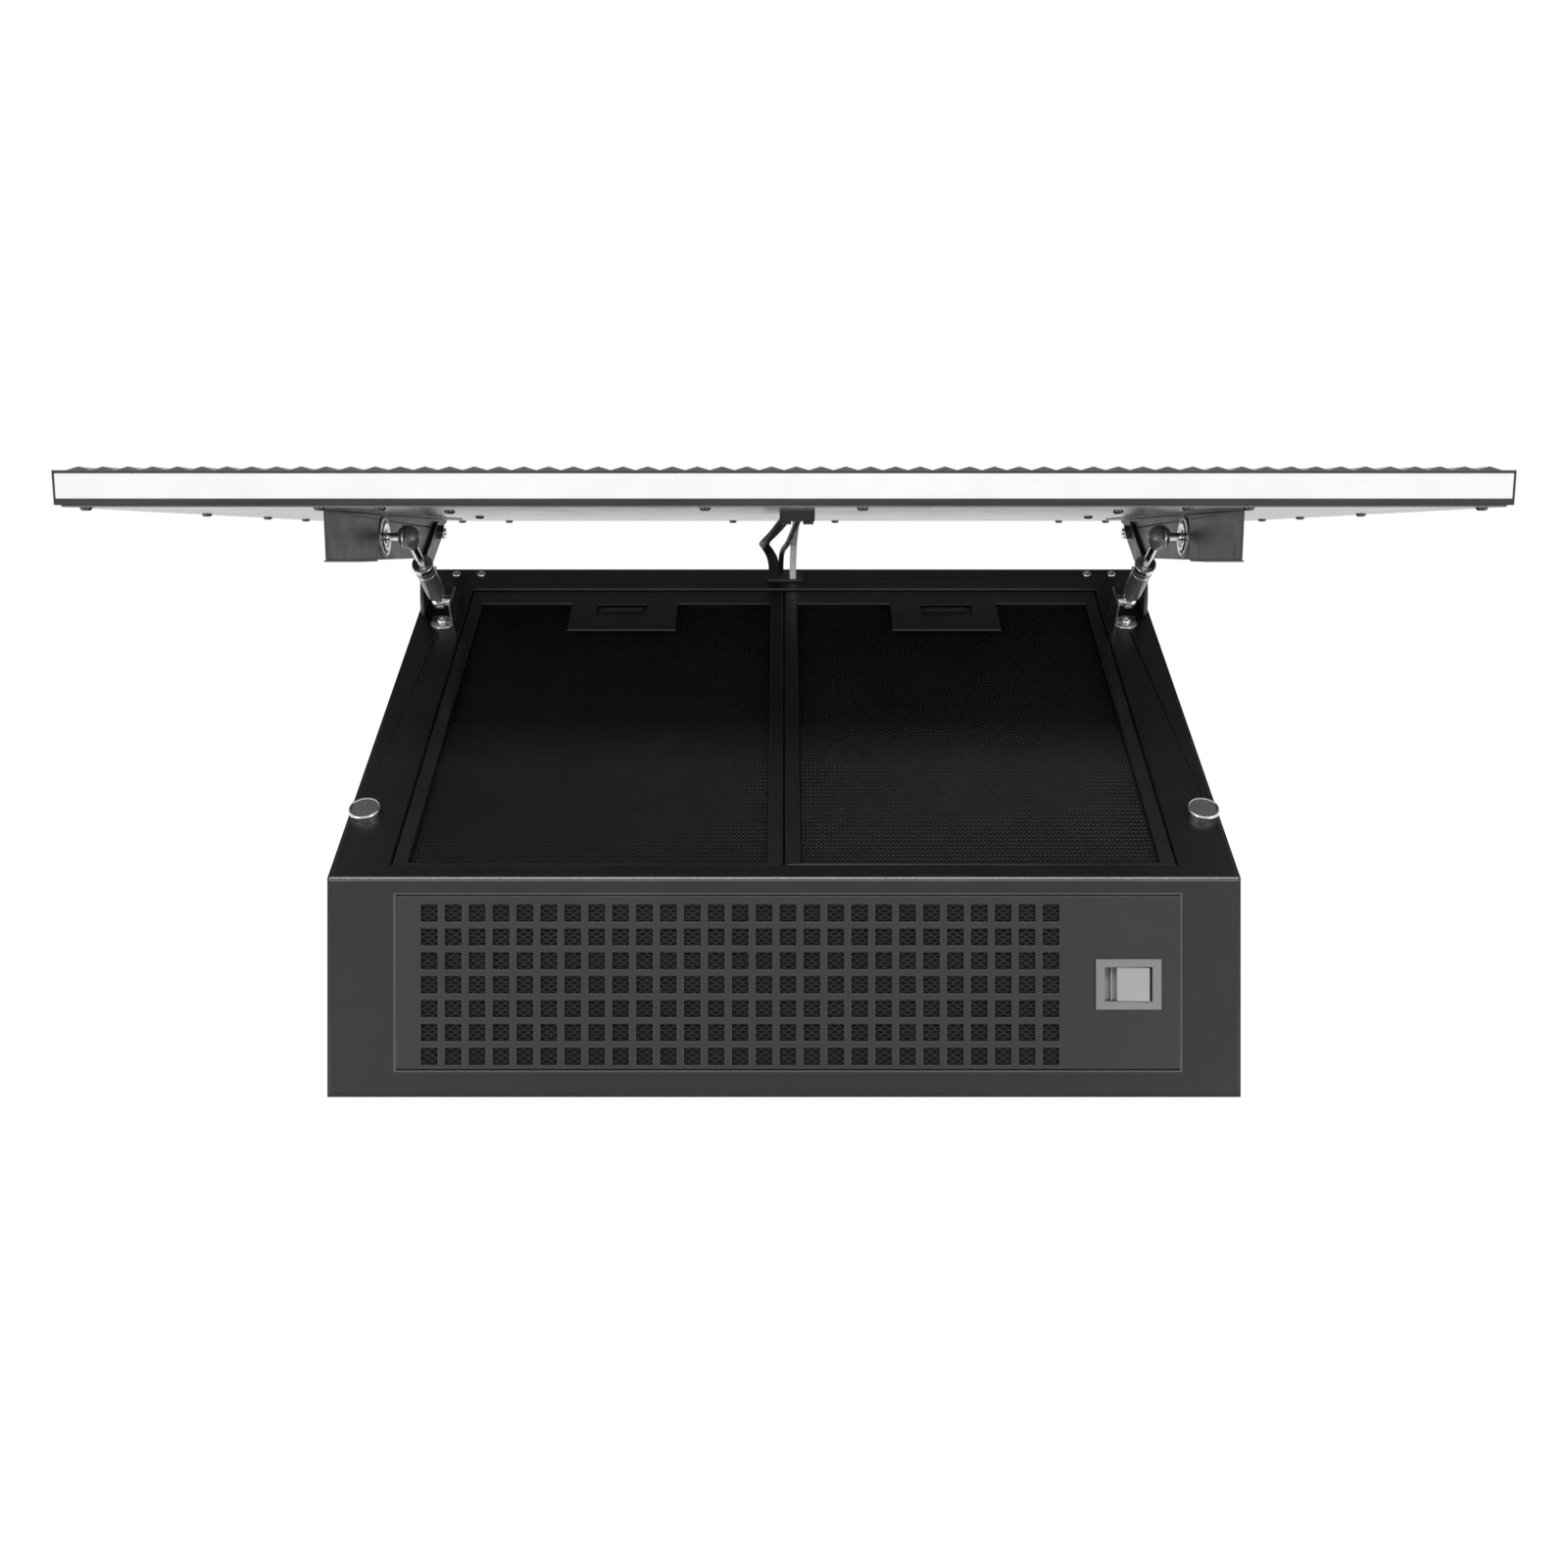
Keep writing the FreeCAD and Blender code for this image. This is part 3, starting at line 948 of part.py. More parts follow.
# Boxes on the inside of the back panel
box_x = (s.control_box_x - s.control_box_width / 2, s.control_box_x + s.control_box_width / 2)
box_z = (s.control_box_z - s.control_box_height / 2, s.control_box_z + s.control_box_height / 2)
box_front = back_inside - s.control_box_depth
keep(cut(block(casing, box_x, (box_front, back_inside), box_z),
         block(casing, grown(box_x, -s.box_wall), (box_front + s.box_wall, back_inside),
               grown(box_z, -s.box_wall))), "control_box")
driver_x = (-s.driver_x - s.driver_length / 2, -s.driver_x + s.driver_length / 2)
driver_z = (-s.driver_z - s.driver_height / 2, -s.driver_z + s.driver_height / 2)
keep(join(block(casing, driver_x, (back_inside - s.driver_depth, back_inside), driver_z),
          block(casing, grown(driver_x, s.strap_width), (back_inside - s.strap_wall, back_inside),
                driver_z)), "led_driver")
can_axis = (-s.capacitor_x, back_inside - s.strap_wall - s.capacitor_radius)
can_z = (s.capacitor_z - s.capacitor_length / 2, s.capacitor_z + s.capacitor_length / 2)
strap_z = (s.capacitor_z - s.strap_width / 2, s.capacitor_z + s.strap_width / 2)
strap_radius = s.capacitor_radius + s.strap_wall
strap_foot_x = grown((can_axis[0] - strap_radius, can_axis[0] + strap_radius), s.strap_width)
strap = cut(join(rod(casing, "z", can_axis, strap_radius, *strap_z),
                 block(casing, strap_foot_x, (back_inside - s.strap_wall, back_inside), strap_z)),
            rod(casing, "z", can_axis, s.capacitor_radius, *strap_z))
keep(group(rod(casing, "z", can_axis, s.capacitor_radius, *can_z), strap), "capacitor")


# Leads from the grommet to the clamp. Their points are in the casing's frame, from the grommet down.
def exit_points(x, along):
    """Where a lead leaves the grommet, square to the slanted face."""
    return [slant.multVec(Vector(x, along, s.grommet_proud)),
            slant.multVec(Vector(x, along, s.grommet_proud + s.lead_exit_run))]


def clamp_points(x, behind):
    """Where a lead goes straight down into the clamp."""
    return [panel.multVec(Vector(x, clamp_y[1] + s.lead_clamp_run, -behind)),
            panel.multVec(Vector(x, clamp_y[1], -behind))]


ROUTES = {
    "lead_sleeve": exit_points(-8.3, 378.5) + [
        Vector(-10.3, -401.5, 116.5), Vector(-15.5, -403.5, 93), Vector(-18.9, -402, 53),
        Vector(-16.5, -400, 10), Vector(-8, -397, -35), Vector(0.5, -395.5, -66),
    ] + clamp_points(2, 2.5),
    "lead_black": exit_points(-2.75, 382.5) + [
        Vector(-0.8, -402.5, 119.5), Vector(3, -401.5, 90),
    ] + clamp_points(9.2, 4.6),
    "lead_white": exit_points(7.5, 372.5) + [
        Vector(7.8, -399, 112), Vector(8.2, -405.5, 86),
    ] + clamp_points(9.5, 1.1),
}


def rounded_route(points):
    """Straight runs joined by tangent arcs, each as large as its two runs allow, with the radii."""
    edges = []
    radii = []
    start = points[0]
    for before, corner, after in zip(points, points[1:], points[2:]):
        incoming = (corner - before).normalize()
        outgoing = (after - corner).normalize()
        half_turn = incoming.getAngle(outgoing) / 2
        setback = ROUTE_SETBACK_SHARE * min((corner - before).Length, (after - corner).Length)
        radius = setback / math.tan(half_turn)
        arc_start = corner - incoming * setback
        arc_end = corner + outgoing * setback
        inward = (outgoing - incoming).normalize()
        arc_middle = corner + inward * (radius / math.cos(half_turn) - radius)
        edges += [Part.LineSegment(start, arc_start).toShape(),
                  Part.Arc(arc_start, arc_middle, arc_end).toShape()]
        radii.append(round(radius, 1))
        start = arc_end
    edges.append(Part.LineSegment(start, points[-1]).toShape())
    return Part.Wire(edges), radii


def lead(label, section):
    """A lead swept along its route; the section is drawn by its width along X and its thickness."""
    points = ROUTES[label]
    wire, radii = rounded_route(points)
    ahead = (points[1] - points[0]).normalize()
    outline = section(points[0], ahead)
    sweep = Part.BRepOffsetAPI.MakePipeShell(wire)
    sweep.setBiNormalMode(X_AXIS)
    sweep.add(outline)
    sweep.build()
    sweep.makeSolid()
    solid = doc.addObject("Part::Feature", "Lead")
    solid.Shape = sweep.shape()
    expected = Part.Face(outline).Area * wire.Length
    print(label, "length", round(wire.Length, 1), "radii", radii,
          "volume share", round(solid.Shape.Volume / expected, 4))
    print(label, "points", [tuple(round(value, 2) for value in point) for point in points])
    return keep(solid, label)


def flat_section(width, thickness):
    """A rectangle across the lead, its width along X."""
    def draw(centre, ahead):
        across = X_AXIS * (width / 2)
        through = ahead.cross(X_AXIS).normalize() * (thickness / 2)
        corners = [centre - across - through, centre + across - through,
                   centre + across + through, centre - across + through]
        return Part.makePolygon(corners + corners[:1])
    return draw


def round_section(radius):
    """A circle across the lead."""
    def draw(centre, ahead):
        return Part.Wire([Part.Circle(centre, ahead, radius).toShape()])
    return draw


lead("lead_sleeve", flat_section(s.sleeve_width, s.sleeve_thickness))
lead("lead_black", round_section(s.lead_radius))
lead("lead_white", flat_section(s.ribbon_width, s.ribbon_thickness))

# Joint geometry
closing = s.panel_open_angle
strut_turn = closed_strut_angle - strut_angle
reach_change = closed_reach.Length - open_reach.Length
print("panel pivot", tuple(round(value, 3) for value in slant.multVec(Vector(0, *pivot))))
print("strut foot", tuple(round(value, 3) for value in slant.multVec(foot_point)))
print("strut direction", tuple(round(value, 6) for value in strut.Rotation.multVec(Y_AXIS)))
print("slope normal", tuple(round(value, 6) for value in slant.Rotation.multVec(Z_AXIS)))
print("slope upward", tuple(round(value, 6) for value in slant.Rotation.multVec(Y_AXIS)))
print("strut turns", round(strut_turn, 4), "degrees, a ratio of", round(strut_turn / closing, 6))
print("rod slides", round(reach_change, 4), "mm, a ratio in metres per radian of",
      round(reach_change / 1000 / math.radians(closing), 6))
for share in (0.25, 0.5, 0.75):
    part_way = slant.inverse() * (slant * shift(0, *pivot) * turn(X_AXIS, closing * share)
                                  * turn(X_AXIS, -closing) * shift(0, -s.pivot_along_panel,
                                                                   s.pivot_behind_panel))
    plate_now = part_way.multVec(plate_point)
    angle_now = math.radians(strut_angle + strut_turn * share)
    reach_now = open_reach.Length + reach_change * share
    tip = foot_point + Vector(0, math.cos(angle_now), math.sin(angle_now)) * reach_now
    print("open pivot error at share", share, round((plate_now - tip).Length, 2))

doc.recompute()
faults = [item.Name for item in doc.Objects if {"Invalid", "Error"} & set(item.State)]
if faults:
    raise RuntimeError(f"these objects failed: {faults}")
for piece in pieces:
    if piece.Shape.isNull() or not piece.Shape.isValid():
        raise RuntimeError(f"the shape of {piece.Label} is not sound")

os.makedirs("parts", exist_ok=True)
for piece in pieces:
    piece.Shape.exportStep(f"parts/{piece.Label}.step")
print(len(pieces), "sub-parts written")
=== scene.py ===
"""Angled range hood with its fluted panel lifted, seen from below. Metres, in the frame of the CAD row."""

import json
import math

import bmesh
import bpy
from mathutils import Matrix, Vector


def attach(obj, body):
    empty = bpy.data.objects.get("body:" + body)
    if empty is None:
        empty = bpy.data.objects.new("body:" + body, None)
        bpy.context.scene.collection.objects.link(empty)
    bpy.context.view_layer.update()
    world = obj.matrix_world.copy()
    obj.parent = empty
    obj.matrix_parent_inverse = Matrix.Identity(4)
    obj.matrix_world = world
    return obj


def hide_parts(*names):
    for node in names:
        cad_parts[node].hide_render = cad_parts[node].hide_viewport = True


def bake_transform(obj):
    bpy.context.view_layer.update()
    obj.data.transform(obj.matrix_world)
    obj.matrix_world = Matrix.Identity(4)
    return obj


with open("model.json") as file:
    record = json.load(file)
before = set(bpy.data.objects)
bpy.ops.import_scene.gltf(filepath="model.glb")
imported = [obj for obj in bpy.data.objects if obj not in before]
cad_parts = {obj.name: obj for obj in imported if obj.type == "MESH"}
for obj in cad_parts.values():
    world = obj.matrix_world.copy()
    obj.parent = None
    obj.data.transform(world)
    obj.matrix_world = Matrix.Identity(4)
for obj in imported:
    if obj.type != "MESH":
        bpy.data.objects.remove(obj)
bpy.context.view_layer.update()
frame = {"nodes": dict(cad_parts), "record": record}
nodes = frame["nodes"]
slot_of = {part["node"]: part["material_slot"] for part in frame["record"]["subparts"]}
MM = 0.001
SIDES = (("left", -1), ("right", 1))

# Driving sizes, as in the CAD source, in millimetres and degrees
BASE_DEPTH = 144
TOP_DEPTH = 393
BODY_HEIGHT = 308
BEND_RADIUS = 3
PIVOT_ALONG_SLOPE = 407
PIVOT_OFF_SLOPE = 27
PIVOT_ALONG_PANEL = 363
PIVOT_BEHIND_PANEL = 12.1
PANEL_OPEN_ANGLE = 30
STRUT_FOOT_ALONG = 318
STRUT_FOOT_OFF = 14
STRUT_PLATE_ALONG = 195.9
STRUT_PLATE_BEHIND = 17
STRUT_PLANE = 280


def shift(x, y, z):
    """A move in millimetres."""
    return Matrix.Translation(Vector((x, y, z)) * MM)


def tilt(angle):
    """A turn about the X axis, in degrees."""
    return Matrix.Rotation(math.radians(angle), 4, "X")


# Frames: the row's own, as in the CAD, and three that are turned about X. Y runs up the slant, up the
# panel and along the strut's rod, and Z points out of the slant and out of the panel's fluted front.
row = Matrix()
slant_angle = math.degrees(math.atan2(TOP_DEPTH - BASE_DEPTH, BODY_HEIGHT))
slant = shift(0, -BASE_DEPTH, -BODY_HEIGHT / 2) @ tilt(90 + slant_angle)
panel = (slant @ shift(0, PIVOT_ALONG_SLOPE, PIVOT_OFF_SLOPE) @ tilt(-PANEL_OPEN_ANGLE)
         @ shift(0, -PIVOT_ALONG_PANEL, PIVOT_BEHIND_PANEL))
plate_in_panel = Vector((0, STRUT_PLATE_ALONG, -STRUT_PLATE_BEHIND)) * MM
strut_run = slant.inverted() @ (panel @ plate_in_panel) - Vector((0, STRUT_FOOT_ALONG, STRUT_FOOT_OFF)) * MM
strut_reach = strut_run.length / MM
strut = (slant @ shift(0, STRUT_FOOT_ALONG, STRUT_FOOT_OFF)
         @ tilt(math.degrees(math.atan2(strut_run.z, strut_run.y))))

# Turns that carry a lathe's own axis, Z, onto another axis of a frame
ONTO_X = {-1: Matrix.Rotation(math.radians(-90), 4, "Y"), 1: Matrix.Rotation(math.radians(90), 4, "Y")}
ONTO_Y = tilt(-90)
FACING_BACK = tilt(180)

# Camera: below the hood and looking straight up, from the photograph's place. The place is in metres,
# the sensor and the lens are in millimetres.
CAMERA_PLACE = (0, -0.2056, -1.1481)
CAMERA_SENSOR = 36
CAMERA_LENS = 34.76


def make_camera():
    data = bpy.data.cameras.new("camera")
    data.sensor_width = CAMERA_SENSOR
    data.lens = CAMERA_LENS
    camera = bpy.data.objects.new("camera", data)
    camera.location = CAMERA_PLACE
    camera.rotation_euler = (math.pi, 0, 0)
    bpy.context.collection.objects.link(camera)
    bpy.context.scene.camera = camera


make_camera()

# Materials. Each constant is set on the shader's own socket, and the detail comes from textures.
# A reach is the part of a texture's range over which a value runs.
EDGE_ROUNDING = 0.0012
EDGE_SAMPLES = 8
COLOUR_REACH = (0.35, 0.65)
SPANGLE_REACH = (0.1, 0.9)
GLOSS_REACH = (0.3, 0.7)
BAND_GLOW = 0.12


class Finish:
    """A principled material whose textures are read in the object's own coordinates, in metres."""

    def __init__(self, name, colour, roughness, metallic=0.0, specular=0.5):
        self.material = bpy.data.materials.new(name)
        self.material.use_nodes = True
        self.tree = self.material.node_tree
        self.shader = self.tree.nodes["Principled BSDF"]
        self.set("Base Color", (*colour, 1))
        self.set("Roughness", roughness)
        self.set("Metallic", metallic)
        self.set("Specular IOR Level", specular)
        self.colour = colour
        self.roughness = roughness
        self.bump = None

    def set(self, socket, value):
        self.shader.inputs[socket].default_value = value

    def add(self, kind):
        return self.tree.nodes.new(kind)

    def link(self, output, target):
        self.tree.links.new(output, target)

    def places(self, stretch=(1, 1, 1)):
        """Object coordinates, stretched along an axis for a brushed or ribbed look."""
        coordinates = self.add("ShaderNodeTexCoord")
        mapping = self.add("ShaderNodeMapping")
        mapping.inputs["Scale"].default_value = stretch
        self.link(coordinates.outputs["Object"], mapping.inputs["Vector"])
        return mapping.outputs["Vector"]

    def noise(self, scale, detail=3, stretch=(1, 1, 1)):
        texture = self.add("ShaderNodeTexNoise")
        texture.inputs["Scale"].default_value = scale
        texture.inputs["Detail"].default_value = detail
        self.link(self.places(stretch), texture.inputs["Vector"])
        return texture.outputs["Fac"]

    def cells(self, scale):
        texture = self.add("ShaderNodeTexVoronoi")
        texture.inputs["Scale"].default_value = scale
        self.link(self.places(), texture.inputs["Vector"])
        return texture.outputs["Color"]

    def round_edges(self):
        """Shades sharp edges as if they were rounded."""
        rounding = self.add("ShaderNodeBevel")
        rounding.samples = EDGE_SAMPLES
        rounding.inputs["Radius"].default_value = EDGE_ROUNDING
        self.bump = rounding.outputs["Normal"]

    def vary_colour(self, pattern, darker, lighter, reach=COLOUR_REACH):
        """Runs the base colour between a darker and a lighter share of itself."""
        ramp = self.add("ShaderNodeValToRGB")
        for end, place, share in zip(ramp.color_ramp.elements, reach, (darker, lighter)):
            end.position = place
            end.color = (*(value * share for value in self.colour), 1)
        self.link(pattern, ramp.inputs["Fac"])
        self.link(ramp.outputs["Color"], self.shader.inputs["Base Color"])

    def vary_roughness(self, pattern, smoother, rougher):
        """Runs the roughness between a smoother and a rougher share of itself."""
        low, high = GLOSS_REACH
        spread = self.add("ShaderNodeMapRange")
        spread.inputs["From Min"].default_value = low
        spread.inputs["From Max"].default_value = high
        spread.inputs["To Min"].default_value = self.roughness * smoother
        spread.inputs["To Max"].default_value = self.roughness * rougher
        self.link(pattern, spread.inputs["Value"])
        self.link(spread.outputs["Result"], self.shader.inputs["Roughness"])

    def relief(self, pattern, depth):
        """Adds a bump of a depth in metres over any bump that is there already."""
        bump = self.add("ShaderNodeBump")
        bump.inputs["Distance"].default_value = depth
        self.link(pattern, bump.inputs["Height"])
        if self.bump:
            self.link(self.bump, bump.inputs["Normal"])
        self.bump = bump.outputs["Normal"]
        self.link(self.bump, self.shader.inputs["Normal"])


def paint(name, colour, roughness, specular, peel=0.00004):
    """Sprayed paint: slight orange peel, faint clouds in its colour and its gloss."""
    made = Finish(name, colour, roughness, specular=specular)
    made.round_edges()
    made.vary_colour(made.noise(scale=9), darker=0.9, lighter=1.1)
    made.vary_roughness(made.noise(scale=30), smoother=0.9, rougher=1.12)
    made.relief(made.noise(scale=900), depth=peel)
    return made.material


def powder_coat(name, colour, roughness, specular, rounded=False):
    """Powder coat: a finer and rougher peel than sprayed paint."""
    made = Finish(name, colour, roughness, specular=specular)
    if rounded:
        made.round_edges()
    made.vary_colour(made.noise(scale=14), darker=0.85, lighter=1.15)
    made.vary_roughness(made.noise(scale=60), smoother=0.9, rougher=1.1)
    made.relief(made.noise(scale=1600), depth=0.00005)
    return made.material


def zinc(name, colour, roughness):
    """Galvanised sheet with its spangle."""
    made = Finish(name, colour, roughness, metallic=1.0)
    made.vary_colour(made.cells(scale=90), darker=0.82, lighter=1.08, reach=SPANGLE_REACH)
    made.vary_roughness(made.noise(scale=45), smoother=0.8, rougher=1.25)
    made.relief(made.noise(scale=700), depth=0.00002)
    return made.material


def polished(name, colour, roughness):
    """Chrome plate with fine handling marks."""
    made = Finish(name, colour, roughness, metallic=1.0)
    made.vary_colour(made.noise(scale=120), darker=0.93, lighter=1.03)
    made.vary_roughness(made.noise(scale=400), smoother=0.7, rougher=1.5)
    made.relief(made.noise(scale=2500), depth=0.000004)
    return made.material


def brushed(name, colour, roughness, stretch, metallic=1.0):
    """Metal brushed along one axis."""
    made = Finish(name, colour, roughness, metallic=metallic)
    made.vary_colour(made.noise(scale=220, stretch=stretch), darker=0.88, lighter=1.1)
    made.vary_roughness(made.noise(scale=300, stretch=stretch), smoother=0.8, rougher=1.25)
    made.relief(made.noise(scale=500, stretch=stretch), depth=0.00001)
    return made.material


def moulded(name, colour, roughness, grain=0.00003):
    """Injection moulded plastic with a fine eroded grain."""
    made = Finish(name, colour, roughness)
    made.vary_colour(made.noise(scale=25), darker=0.92, lighter=1.06)
    made.vary_roughness(made.noise(scale=150), smoother=0.88, rougher=1.12)
    made.relief(made.noise(scale=1800, detail=2), depth=grain)
    return made.material


def rubber(name, colour, roughness):
    """Cable jacket: soft sheen and slight waviness."""
    made = Finish(name, colour, roughness, specular=0.45)
    made.vary_colour(made.noise(scale=160), darker=0.85, lighter=1.15)
    made.vary_roughness(made.noise(scale=90), smoother=0.85, rougher=1.2)
    made.relief(made.noise(scale=400), depth=0.00006)
    return made.material


def fibre(name, colour, roughness):
    """Dust-catching fibre pad."""
    made = Finish(name, colour, roughness, specular=0.2)
    made.vary_colour(made.noise(scale=1200, stretch=(1, 0.3, 1)), darker=0.5, lighter=1.6)
    made.relief(made.noise(scale=1500, stretch=(0.3, 1, 1)), depth=0.0004)
    return made.material


def opal(name, colour, roughness):
    """The lit diffuser: opal plastic that glows evenly, with faint clouds."""
    made = Finish(name, colour, roughness)
    made.vary_colour(made.noise(scale=40), darker=0.97, lighter=1.02)
    made.set("Emission Color", (1, 1, 1, 1))
    made.set("Emission Strength", BAND_GLOW)
    made.relief(made.noise(scale=1500), depth=0.00001)
    return made.material


MATERIALS = {
    "black_paint": paint("black_paint", (0.005, 0.005, 0.0055), roughness=0.33, specular=0.5),
    "grey_steel": paint("grey_steel", (0.0095, 0.0095, 0.01), roughness=0.36, specular=0.56),
    "cover_grey": paint("cover_grey", (0.24, 0.24, 0.244), roughness=0.22, specular=0.4, peel=0.00001),
    "filter_black": powder_coat("filter_black", (0.0075, 0.0075, 0.008), roughness=0.33, specular=0.65,
                                rounded=True),
    "mesh_black": powder_coat("mesh_black", (0.017, 0.017, 0.018), roughness=0.42, specular=0.25),
    # A darker copy of the mesh's powder coat, for the pleats behind the net: painted shade in the filters'
    # depth
    "mesh_painted_shade": powder_coat("mesh_painted_shade", (0.002, 0.002, 0.0022), roughness=0.5, specular=0.3),
    # A lighter copy of the black paint with full specular, for the rolled edges, the grille's rim and the
    # bend: painted highlight lines
    "painted_highlight_black": powder_coat("painted_highlight_black", (0.034, 0.034, 0.035), roughness=0.25, specular=1.0),
    "dark_metal": powder_coat("dark_metal", (0.046, 0.046, 0.048), roughness=0.4, specular=0.5),
    "strut_grey": powder_coat("strut_grey", (0.11, 0.112, 0.115), roughness=0.28, specular=0.8),
    "zinc_sheet": zinc("zinc_sheet", (0.5, 0.51, 0.52), roughness=0.4),
    "bright_metal": polished("bright_metal", (0.7, 0.7, 0.71), roughness=0.2),
    "screw_dark": polished("screw_dark", (0.06, 0.06, 0.062), roughness=0.22),
    "flute_grey": brushed("flute_grey", (0.055, 0.055, 0.056), roughness=0.42, stretch=(1, 1, 0.05),
                          metallic=0.0),
    "frame_aluminium": brushed("frame_aluminium", (0.055, 0.056, 0.058), roughness=0.38,
                               stretch=(0.05, 1, 1)),
    "can_aluminium": brushed("can_aluminium", (0.6, 0.6, 0.61), roughness=0.35, stretch=(1, 1, 0.1)),
    "rocker_grey": moulded("rocker_grey", (0.32, 0.32, 0.32), roughness=0.22, grain=0.000008),
    "bezel_grey": moulded("bezel_grey", (0.19, 0.19, 0.19), roughness=0.42),
    "magnet_grey": moulded("magnet_grey", (0.075, 0.075, 0.078), roughness=0.5, grain=0.00005),
    "board_white": moulded("board_white", (0.75, 0.75, 0.73), roughness=0.5),
    "plastic_black": moulded("plastic_black", (0.013, 0.013, 0.013), roughness=0.42),
    "plastic_grey": moulded("plastic_grey", (0.06, 0.06, 0.065), roughness=0.45),
    "fan_plastic": moulded("fan_plastic", (0.04, 0.04, 0.042), roughness=0.4),
    "lead_black": rubber("lead_black", (0.014, 0.014, 0.0145), roughness=0.38),
    "lead_white": rubber("lead_white", (0.86, 0.86, 0.84), roughness=0.45),
    "pad_black": fibre("pad_black", (0.006, 0.006, 0.006), roughness=0.9),
    "band_white": opal("band_white", (0.62, 0.62, 0.62), roughness=0.5),
}


def dress(node):
    """Gives a CAD node the finish of its slot."""
    thing = nodes[node]
    finish = MATERIALS[slot_of[node]]
    if not thing.material_slots:
        thing.data.materials.append(finish)
    for place in thing.material_slots:
        place.material = finish


for node in nodes:
    dress(node)

# Mesh making. Points that lie closer than the weld distance, in metres, are one point.
PIECE_WELD = 0.000001
ISLAND_WELD = 0.000005
SHARP_ANGLE = 35
TURN_SEGMENTS = 48


def finish_piece(name, mesh, slot, body, replaced=(), sharp=SHARP_ANGLE, blended=False, shade=None):
    """Links a new piece in the row frame, smooths it, gives it its finish, hides the CAD nodes it replaces
    and, unless it is blended, hangs it on its body.
    """
    mesh.polygons.foreach_set("use_smooth", [True] * len(mesh.polygons))
    mesh.set_sharp_from_angle(angle=math.radians(sharp))
    mesh.materials.append(MATERIALS[shade or slot])
    piece = bpy.data.objects.new(name, mesh)
    bpy.context.collection.objects.link(piece)
    if replaced:
        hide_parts(*replaced)
    if not blended:
        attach(piece, body)
    return piece


def mesh_of(name, points, faces):
    """A mesh from its points and faces, with its normals turned outward."""
    mesh = bpy.data.meshes.new(name)
    mesh.from_pydata(points, [], faces)
    shape = bmesh.new()
    shape.from_mesh(mesh)
    bmesh.ops.remove_doubles(shape, verts=shape.verts, dist=PIECE_WELD)
    bmesh.ops.recalc_face_normals(shape, faces=shape.faces)
    shape.to_mesh(mesh)
    shape.free()
    return mesh


def ring_faces(rings, corners, first=0):
    """Quads between rings of points that follow each other, from a first point on."""
    faces = []
    for ring in range(rings - 1):
        low = first + ring * corners
        high = low + corners
        for number in range(corners):
            after = (number + 1) % corners
            faces.append((low + number, low + after, high + after, high + number))
    return faces


def tube_faces(rings, corners, first=0):
    """A cap at each end of a tube, and the quads between them."""
    last = first + (rings - 1) * corners
    caps = [tuple(range(start, start + corners)) for start in (first, last)]
    return caps + ring_faces(rings, corners, first)


def joined(shapes):
    """The points and faces of several shapes as those of one."""
    points = []
    faces = []
    for more_points, more_faces in shapes:
        faces += [tuple(corner + len(points) for corner in face) for face in more_faces]
        points += more_points
    return points, faces


def point_round(place, radius, angle, height):
    """A point round a frame's Z axis, at a radius and a height in millimetres."""
    return place @ (Vector((radius * math.cos(angle), radius * math.sin(angle), height)) * MM)


def lathe(place, profile, segments=TURN_SEGMENTS):
    """Points and faces of a turned solid. Its profile holds (radius, height) in millimetres, and either
    starts and ends on the axis or closes on itself."""
    points = []
    for radius, height in profile:
        for number in range(segments):
            points.append(point_round(place, radius, 2 * math.pi * number / segments, height))
    return points, ring_faces(len(profile), segments)


def turned(name, parts):
    """One mesh of several (place, profile) solids of revolution."""
    return mesh_of(name, *joined([lathe(place, profile) for place, profile in parts]))


def section_at(place, across, outline):
    """The corners of an outline of (Y, Z) places, at one X place of a frame."""
    return [place @ (Vector((across, along, out)) * MM) for along, out in outline]


def bar(name, place, x, outline):
    """A straight bar of one outline between two X places."""
    points = section_at(place, x[0], outline) + section_at(place, x[1], outline)
    return mesh_of(name, points, tube_faces(len(x), len(outline)))


def round_outline(radius, count=20):
    turns = [2 * math.pi * step / count for step in range(count)]
    return [(radius * math.cos(turn), radius * math.sin(turn)) for turn in turns]


def islands(node):
    """The corners of each separate solid of a CAD node, in the order of its mesh."""
    shape = bmesh.new()
    shape.from_mesh(nodes[node].data)
    bmesh.ops.remove_doubles(shape, verts=shape.verts, dist=ISLAND_WELD)
    shape.verts.index_update()
    seen = set()
    found = []
    for first in shape.verts:
        if first.index in seen:
            continue
        seen.add(first.index)
        waiting = [first]
        island = []
        while waiting:
            corner = waiting.pop()
            island.append(corner.co.copy())
            for edge in corner.link_edges:
                other = edge.other_vert(corner)
                if other.index not in seen:
                    seen.add(other.index)
                    waiting.append(other)
        found.append(island)
    shape.free()
    return found


def box_in(place, island):
    """A solid's box in a frame, as its lowest and highest corner in millimetres."""
    back = place.inverted()
    corners = [back @ corner / MM for corner in island]
    low = Vector([min(corner[axis] for corner in corners) for axis in range(3)])
    high = Vector([max(corner[axis] for corner in corners) for axis in range(3)])
    return low, high


def solid_boxes(node, place):
    return [box_in(place, island) for island in islands(node)]


def centred(place, low, high, level):
    """A frame moved to the middle of a box across X and Y, and to a level."""
    return place @ shift((low.x + high.x) / 2, (low.y + high.y) / 2, level)


